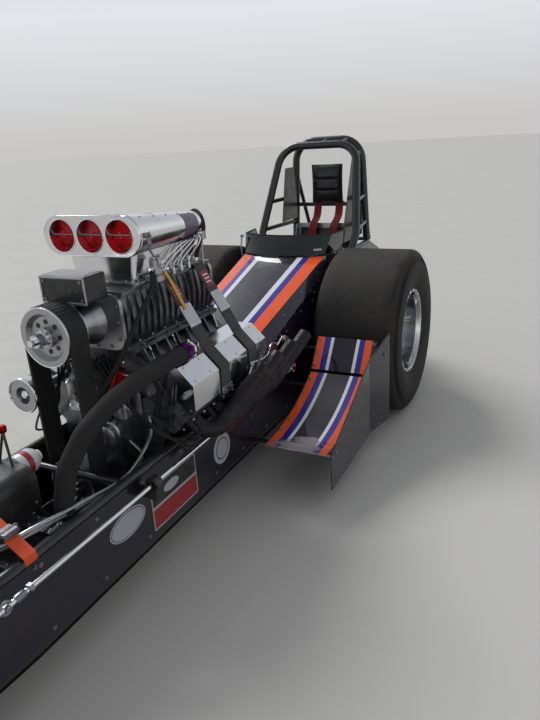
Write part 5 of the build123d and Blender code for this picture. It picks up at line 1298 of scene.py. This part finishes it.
def add_seat_details():
    add_cushion("seat_base_pad", (0, 372, 206), REAR, 166, 158, 40, (-0.45, 0.05, 0.55))
    add_cushion("seat_back_pad", (0, back_plane(550, 14), 550), (0, 0.1126, 0.9936), 166, 325, 40,
                (-0.62, -0.30, 0.02, 0.34, 0.66))
    add_cushion("head_pad", (0, 668, 1140), (0, 0.02, 1), 100, 115, 38, (-0.3, 0.3))
    mount = Piece("head_pad_plate", BLACK_PARTS)
    mount.plate(rounded(190, 240, 12), (0, 676, 1135), FRONT, 4)
    belts = Piece("harness_belts", RED_STRAP)
    shoulder = [(72, 716, 1000), (72, 706, 1026), (72, 688, 1018), (72, 655, 940),
                (70, back_plane(885, 62), 885)]
    shoulder += [(68 - 10 * k, back_plane(z, 61), z) for k, z in enumerate((800, 680, 560, 450, 340))]
    shoulder += [(14, 470, 282), (10, 440, 262)]
    lap = [(181, 535, 215), (165, 500, 262), (100, 455, 262), (28, 428, 258)]
    for side in MIRROR:
        mount.tube([(side * 70, 680, 1030), (side * 70, 690, 1012)], 8)
        belts.ribbon(flowing([(side * x, back, z) for x, back, z in shoulder], 5), LEFT, 50)
        belts.ribbon(flowing([(side * x, back, z) for x, back, z in lap], 6), (0, 0.85, 0.3), 50)
    belts.ribbon(flowing([(0, 425, 256), (0, 340, 256), (0, 245, 240), (0, 222, 215)], 6), LEFT, 45)
    lock = Piece("harness_lock", CHROME)
    lock.lathe([(0, 34), (6, 36), (12, 34), (15, 24), (20, 23), (22, 0)], (0, 434, 262.5), (0, 0.05, 1), 36)
    for x, z in ((52, 620), (26, 400)):
        lock.plate(rounded(58, 30, 4), grid((-x, x), [back_plane(z, 63.5)], [z]), (0, -1, 0.11), 4)
    finish_pieces(mount, belts, lock)


def add_dash():
    dash = Piece("dash_panel", BLACK_PARTS)
    dash.plate(rounded(522, 72, 12), (0, -20, 757), REAR, 3)
    for x in (-250, 250):
        dash.block((x - 12, -40, 730), (x + 12, -20, 784))
    bezels = Piece("gauge_bezels", CHROME)
    dials = Piece("gauge_dials", SEAM_AND_HOLE_SHADE)
    marks = Piece("gauge_marks", WHITE_PAINT)
    gauges = grid((-150, -75, 75, 150), [-17.2], [757])
    bezels.lathe([(0, 31), (8, 31), (10, 29), (9, 26.5), (4, 26.2)], gauges, REAR, 40)
    dials.lathe([(8.8, 26.4), (9.4, 26.2), (9.4, 0)], gauges, REAR, 40)
    for gauge in gauges:
        for i in range(11):
            turn = math.radians(225 - 27 * i)
            face, out = gauge + REAR * 9.6, Vector((math.cos(turn), 0, math.sin(turn)))
            marks.tube([face + out * 19, face + out * 23.5], 0.8, 6)
        marks.tube([gauge + REAR * 9.8, gauge + Vector((-12, 9.8, -10))], [1.4, 0.5], 6)
    bezels.lathe([(0, 8), (3, 8), (4, 3), (18, 3.6), (19, 0)], grid((-215, 0, 215), [-17], [757]),
                 (0, 1, 0.3), 14)
    finish_pieces(dash, bezels, dials, marks)


# Butterfly wheel: plate, padded grips, quick-release hub
WHEEL_CENTRE = Vector((0, 60, 700))
WHEEL_FACING = Vector((0, 0.97237, 0.23368))
WHEEL_DOWN = Vector((0, 0.23368, -0.97237))
GRIP_LOOP = ((70, 0), (78, -30), (92, -38), (101.5, -18), (101, 20), (98.5, 52), (86, 61.5), (74, 46))


def add_steering_wheel():
    wheel = Piece("wheel_frame", MACHINED, "steering_wheel")
    wheel.tube([WHEEL_CENTRE - WHEEL_FACING * 39.7, WHEEL_CENTRE + WHEEL_FACING * 2], 12, 20)
    wheel.lathe([(0, 30), (4, 32), (12, 32), (16, 28), (16, 14), (22, 13), (23, 0)], WHEEL_CENTRE,
                WHEEL_FACING, 36)
    wheel.plate(rounded(170, 24, 10), WHEEL_CENTRE + WHEEL_FACING * 3, WHEEL_FACING, 6)
    wheel.bolt(around(WHEEL_CENTRE + WHEEL_FACING * 16, WHEEL_FACING, 22, 6), WHEEL_FACING, 3.6)
    grips = Piece("wheel_grips", HOSE_RUBBER, "steering_wheel")
    plane = WHEEL_CENTRE + WHEEL_FACING * 6
    for side in MIRROR:
        loop = [plane + LEFT * side * x + WHEEL_DOWN * down for x, down in GRIP_LOOP]
        grips.tube(flowing(loop + loop[:2], 5)[:len(loop) * 5], 8.8, 12, closed=True)
        folds = [plane + LEFT * side * 101.5 + WHEEL_DOWN * (-14 + 6 * k) for k in range(9)]
        grips.ring(folds, WHEEL_DOWN, 8.5, 1.4, 16, 6)
    wheel.done("steering_wheel")
    grips.done()


def add_levers():
    levers = Piece("hand_levers", STEEL)
    levers.tube([(-212, 180, 420), (-205, 130, 640), (-190, 150, 700)], 8.5, 12)
    levers.tube([(205, 60, 480), (196, 55, 655)], 6.5, 12)
    levers.plate(rounded(60, 80, 10), (-222.5, 180, 430), LEFT, 6)
    knobs = Piece("lever_grips", HOSE_RUBBER)
    knobs.tube([(-204.5, 129.5, 645), (-189, 151, 712)], [12.5, 13.5], 14)
    knobs.lathe([(0, 6), (10, 15), (22, 15), (30, 7), (31, 0)], (196, 55, 652), UP, 20)
    finish_pieces(levers, knobs)


# Roll cage: weld beads, and rivets round both head plates
HEAD_PLATES = ((1, ((315, 842), (662, 842), (662, 1315), (537, 1315))),
               (-1, ((462, 944), (662, 944), (662, 1236), (532, 1236))))


def on_front_hoop(z):
    way = (z - 858) / 519
    return Vector((306 - 69 * way, 305 + 233 * way, z))


def add_cage_details():
    beads = Piece("cage_welds", BLACK)
    joints = [(on_front_hoop(low), Vector((243 - 28 * (high - 790) / 610, 700, high)))
              for low, high in ((900, 905), (1060, 1065))]
    joints.append((Vector((215, 700, 1180)), Vector((200, 885, 760))))
    joints.append((Vector((130, 538, 1377)), Vector((130, 700, 1400))))
    for start, end in joints:
        run = (end - start).normalized()
        beads.ring([start + run * 23.5, end - run * 23.5], run, 12.8, 2.8, 20, 6)
    beads.ring((270, 285, 802), UP, 23.5, 3.5, 24, 6)
    beads.mirror().done()
    rivets = Piece("shroud_rivets", STEEL)
    for side, corners in HEAD_PLATES:
        for (b0, z0), (b1, z1) in zip(corners, corners[1:] + corners[:1]):
            steps = max(2, round(math.hypot(b1 - b0, z1 - z0) / 75))
            rivets.rivet([(side * 221, b0 + (b1 - b0) * i / steps, z0 + (z1 - z0) * i / steps)
                          for i in range(steps)],
                         (side, 0, 0), 4.2)
    rivets.done()


# Ramps: fasteners, worn lip and edge beads
RAMP_FACE = arc((-578, 368), (-800, 272), (-1109, 233), 24)
RAMP_PLATE = ((-1112, 664), (-620, 670), (-448, 716))
# Edges of the ramps' side plates: height at the front end, slope, and how far above it the rivets sit
RAMP_PLATE_EDGES = ((232, 0.476, -16), (82, 0.0542, 14))


def add_ramp_details():
    studs = Piece("ramp_fasteners", STEEL)
    lips = Piece("ramp_lips", MACHINED)
    beads = Piece("ramp_edges", BLACK_PARTS)
    for t in (0.10, 0.50, 0.90):
        studs.fastener(grid((374, 650), [-464.5 - 103.5 * t], [512 - 132 * t]), (0, -0.787, 0.617), 6.5)
    for (b0, z0), (back, z), (b1, z1) in list(zip(RAMP_FACE, RAMP_FACE[1:], RAMP_FACE[2:]))[1::4]:
        studs.fastener(grid((374, 650), [back], [z]), (0, z1 - z0, b0 - b1), 6.5)
    for back in range(-1095, -460, 79):
        if back < -620:
            x, turned = 664 + (back + 1112) / 82, 0.012
        else:
            x, turned = 670 + (back + 620) * 46 / 172, 0.267
        studs.rivet([(x, back, z + slope * (back + 1112) + above) for z, slope, above in RAMP_PLATE_EDGES],
                    (1, -turned, 0), 4.2)
    studs.bolt([(664.6, -1060, 224), (669.8, -640, 323), (704.6, -491, 460)], LEFT, 6.5)
    for side in MIRROR:
        lips.tube([(side * 362, -1108.5, 231.2), (side * 663.5, -1108.5, 231.2)], 3)
        beads.tube([(side * 362.5, back, z - 2) for back, z in RAMP_FACE], 3, 8)
        beads.tube([(side * 362.5, -464.5, 510.5), (side * 362.5, -568, 378.5)], 3, 8)
        for z, slope, _ in RAMP_PLATE_EDGES:
            beads.tube([(side * (x - 2), back, z + slope * (back + 1112)) for back, x in RAMP_PLATE], 3.2, 8)
    finish_pieces(studs.mirror(), lips, beads)


# Front end: rod ends, jam nuts, kingpin caps, tie rod nuts and drag link clevis
AXLE_BACK = -5300
FRONT_Z = FRONT_CENTRE.z
LINK_X, LINK_Z = 311, 421


def add_front_end_details():
    joints = Piece("radius_rod_ends", STEEL)
    for back, x, heights in ((AXLE_BACK, 300, (308, 272)), (-4300, 222, (330, 280))):
        joints.lathe([(-13, 10), (-10, 14), (10, 14), (13, 10)], grid([x], [back], heights), LEFT, 20)
    for back, x, heights in ((-5245, 295.71, (309.5, 271.5)), (-4350, 225.9, (328.5, 281.5))):
        joints.lathe([(-7, 13.5), (7, 13.5)], grid([x], [back], heights), (-0.078, 1, 0), 6)
    joints.bolt(grid([232], (-4312, -4288), (272, 338)), LEFT, 4.5)
    joints.bolt(grid([135.2], (AXLE_BACK - 18, AXLE_BACK + 18), [315]), LEFT, 5)
    joints.ring((155, AXLE_BACK, FRONT_Z), LEFT, 25.5, 3, 28, 6)
    joints.mirror().done()
    for side, name in SIDES:
        caps = Piece(f"kingpin_caps_{name}", CHROME, f"knuckle_{name}")
        # The steering arm takes the place of the left upper cap
        for up in (-1,) if name == "left" else MIRROR:
            caps.lathe([(0, 19), (3, 19), (7, 13), (8, 0)], (side * 455, AXLE_BACK, FRONT_Z + up * 55.2),
                       UP * up, 24)
        caps.lathe([(0, 16.5), (4, 17.5), (9, 16.5), (9, 0)], (side * 614.2, AXLE_BACK, FRONT_Z),
                   (side, 0, 0), 6)
        caps.bolt(grid([side * 496.5], [AXLE_BACK - 12], (FRONT_Z - 40, FRONT_Z + 40)), (side, 0, 0), 4.5)
        caps.done()
    nuts = Piece("tie_rod_nuts", STEEL, "tie_rod")
    for side in MIRROR:
        nuts.lathe([(0, 13.5), (12, 13.5)], (side * 418, -5170, 175), (-side, 0, 0), 6)
        nuts.tube([(side * 438, -5170, 175), (side * 405, -5170, 175)], [12.5, 9.8], 16)
    clevis = Piece("drag_link_clevis", STEEL, "drag_link")
    for back, length in ((-5262, 12), (-722, -12), (-2330, 14)):
        clevis.lathe([(0, 13.5), (length, 13.5)], (LINK_X, back, LINK_Z), REAR, 6)
    clevis.lathe([(0, 9.8), (6, 11.8), (30, 11.8), (34, 9.8)], (LINK_X, -2374, LINK_Z), REAR, 20)
    clevis.ring((LINK_X, -2402, LINK_Z), LEFT, 17, 4.5, 28)
    clevis.bolt((LINK_X + 6.5, -2402, LINK_Z), LEFT, 7)
    finish_pieces(nuts, clevis)


# Tail: soft parachute pack with straps, flaps and pin, and what is bolted round the rear axle
PACK_ROWS = 22
PACK_OUTLINE = rounded(2, 2, 0.62, 7)


def add_parachute():
    low, high = corners_of("parachute_pack")
    centre = (low + high) / 2
    rings = []
    for j in range(PACK_ROWS + 1):
        t = j / PACK_ROWS
        swell = max(0.0, 1 - abs(2 * t - 1) ** 4.5) ** 0.4
        sag = 6 * math.sin(math.pi * t) * (1 - t)
        grow = 0.86 + 0.14 * swell if 0 < j < PACK_ROWS else 0.72
        height = low.z + 0.8 + (high.z - low.z - 4) * (0.5 - 0.5 * math.cos(math.pi * t))
        ring = []
        for x, y in PACK_OUTLINE:
            wrinkle = 3.5 * noise.noise(Vector((x * 2.3, y * 2.3, t * 7.1)))
            ring.append(Vector((centre.x + x * (120.5 * grow + sag * 0.6 + wrinkle),
                                centre.y + y * (90 * grow + sag * 0.5 + wrinkle), height)))
        rings.append(ring)
    bag = Piece("parachute_bag", CHUTE, crease=70).loft(rings).done("parachute_pack")
    straps = Piece("parachute_straps", RED_STRAP)
    for z in (545, 655):
        path = [(centre.x + x * 125.8, centre.y + y * 94.5, z) for x, y in PACK_OUTLINE + PACK_OUTLINE[:1]]
        straps.ribbon(path, UP, 32, 2.2)
    flaps = Piece("parachute_flaps", CHUTE)
    face = Vector((0, 926.5, 600))
    for x, z in circle(1, 4, math.pi / 4):
        flaps.tube([face + Vector((x * reach, 1.2, z * reach)) for reach in (12, 50, 92)], 2.4, 8)
    flaps.plate(rounded(62, 62, 10), face, REAR, 3.5)
    pin = Piece("parachute_pin", CHROME)
    pin.ring(face + REAR * 4.5, REAR, 10, 2.2, 28)
    pin.tube([face + Vector((-28, 6, 0)), face + Vector((24, 6, 0))], 2.2, 8)
    pin.ring(face + Vector((34, 6, 0)), REAR, 10, 1.8, 24)
    pin.plate(rounded(40, 44, 4), [(60, 929.5, 655), (-60, 929.5, 655)], REAR, 4)
    finish_pieces(straps, flaps, pin)


def add_tail_details():
    bolts = Piece("tail_bolts", STEEL)
    bolts.bolt(grid([200], (760, 835, 905), [467.2]), UP)
    bolts.ring((243, 916, 300), REAR, 20, 3, 28, 6)
    # Brake disc hat bolts, caliper bolts and bleed screw, then the axle housing's and the oil pan's bolts
    bolts.bolt(around((356, 0, AXLE_Z), LEFT, 56, 10), LEFT, 4.5)
    bolts.bolt([(380, back, AXLE_Z + z) for back, z in ((-130, 36), (-130, -36), (-80, 40), (-80, -40))],
               LEFT, 5.5)
    bolts.bolt((350, -115, AXLE_Z + 50), UP, 4.5)
    bolts.bolt(around((255, 0, AXLE_Z), LEFT, 75, 8, math.pi / 8), LEFT, 5)
    bolts.bolt(grid([122], range(-1535, -1080, 75), [310.5]), -UP, 5)
    bolts.mirror()
    bolts.bolt(around((0, -1009.2, CRANK_Z), REAR, 173, 14), REAR, 5.8)
    bolts.bolt(around((0, -230.5, AXLE_Z), FRONT, 85, 7, math.pi / 7), FRONT, 4.5)
    # Dark discs on both faces of each brake disc: painted shade for its drilled holes
    hole_shade = Piece("brake_disc_hole_shade", SEAM_AND_HOLE_SHADE, "rear_axle")
    for x, axis in ((356.2, LEFT), (343.8, -LEFT)):
        for k in range(3):
            hole_shade.plate(circle(3.8, 10), around((x, 0, AXLE_Z), LEFT, 85 + 18 * k, 12, 0.10 * k), axis, 0.4,
                        0.1)
    lines = Piece("brake_lines", MACHINED)
    for side in MIRROR:
        lines.tube(flowing([(side * x, back, AXLE_Z + z) for x, back, z in (
            (345, -118, 54), (325, -120, 85), (290, -90, 75), (250, -52, 30), (160, -48, 12), (80, -78, 20),
        )]), 3.6, 8)
    finish_pieces(bolts, hole_shade.mirror(), lines)


add_panel_details()
add_decals()
add_cowl_details()
add_screen_details()
add_seat_details()
add_dash()
add_steering_wheel()
add_levers()
add_cage_details()
add_ramp_details()
add_front_end_details()
add_parachute()
add_tail_details()


# Stage: a plain pale floor, soft light, and a pale surround that camera and reflections see
FLOOR_COLOR = shade(188, 186, 182)
FLOOR_HALF = 60
AMBIENT_COLOR = (0.93, 0.96, 1.0, 1)
AMBIENT_STRENGTH = 0.55
# Colours of the surround, by the height of the direction
SKY = ((0.0, (0.58, 0.57, 0.56, 1)), (0.16, (0.76, 0.78, 0.82, 1)), (0.50, (0.44, 0.46, 0.50, 1)),
       (0.9, (0.26, 0.27, 0.30, 1)))
SUN_DIRECTION = Vector((0.6, -0.3, -0.75))


def add_floor():
    mesh = bpy.data.meshes.new("floor")
    corners = [(x * FLOOR_HALF, y * FLOOR_HALF, 0) for x, y in ((-1, -1), (1, -1), (1, 1), (-1, 1))]
    mesh.from_pydata(corners, [], [(0, 1, 2, 3)])
    finish = Finish("floor_paint", FLOOR_COLOR, 0.8)
    finish.roughen(0.3, 0.7, 0.7, 0.9, 3, 5)
    mesh.materials.append(finish.material)
    floor = add_to_scene(bpy.data.objects.new("floor", mesh))


def add_world():
    world = bpy.data.worlds.new("studio")
    world.use_nodes = True
    bpy.context.scene.world = world
    world.node_tree.nodes.clear()
    nodes = Nodes(world.node_tree, "Generated")
    rays = nodes.node("ShaderNodeLightPath", {}).node.outputs
    mirrored = nodes.math("MAXIMUM", rays["Is Glossy Ray"], rays["Is Transmission Ray"])
    seen = nodes.math("MAXIMUM", rays["Is Camera Ray"], mirrored)
    ambient = nodes.node("ShaderNodeBackground", {"Color": AMBIENT_COLOR, "Strength": AMBIENT_STRENGTH})
    surround = nodes.node("ShaderNodeBackground",
                          {"Color": nodes.bands(nodes.axis("Z"), *SKY, curve="LINEAR")})
    blend = nodes.node("ShaderNodeMixShader", {0: seen, 1: ambient, 2: surround})
    nodes.feed(nodes.tree.nodes.new("ShaderNodeOutputWorld"), 0, blend)


def add_sun():
    data = bpy.data.lights.new("sun", "SUN")
    data.angle = math.radians(25)
    data.energy = 1.9
    lamp = add_to_scene(bpy.data.objects.new("sun", data))
    lamp.rotation_euler = SUN_DIRECTION.to_track_quat("-Z", "Y").to_euler()


add_floor()
add_world()
add_sun()
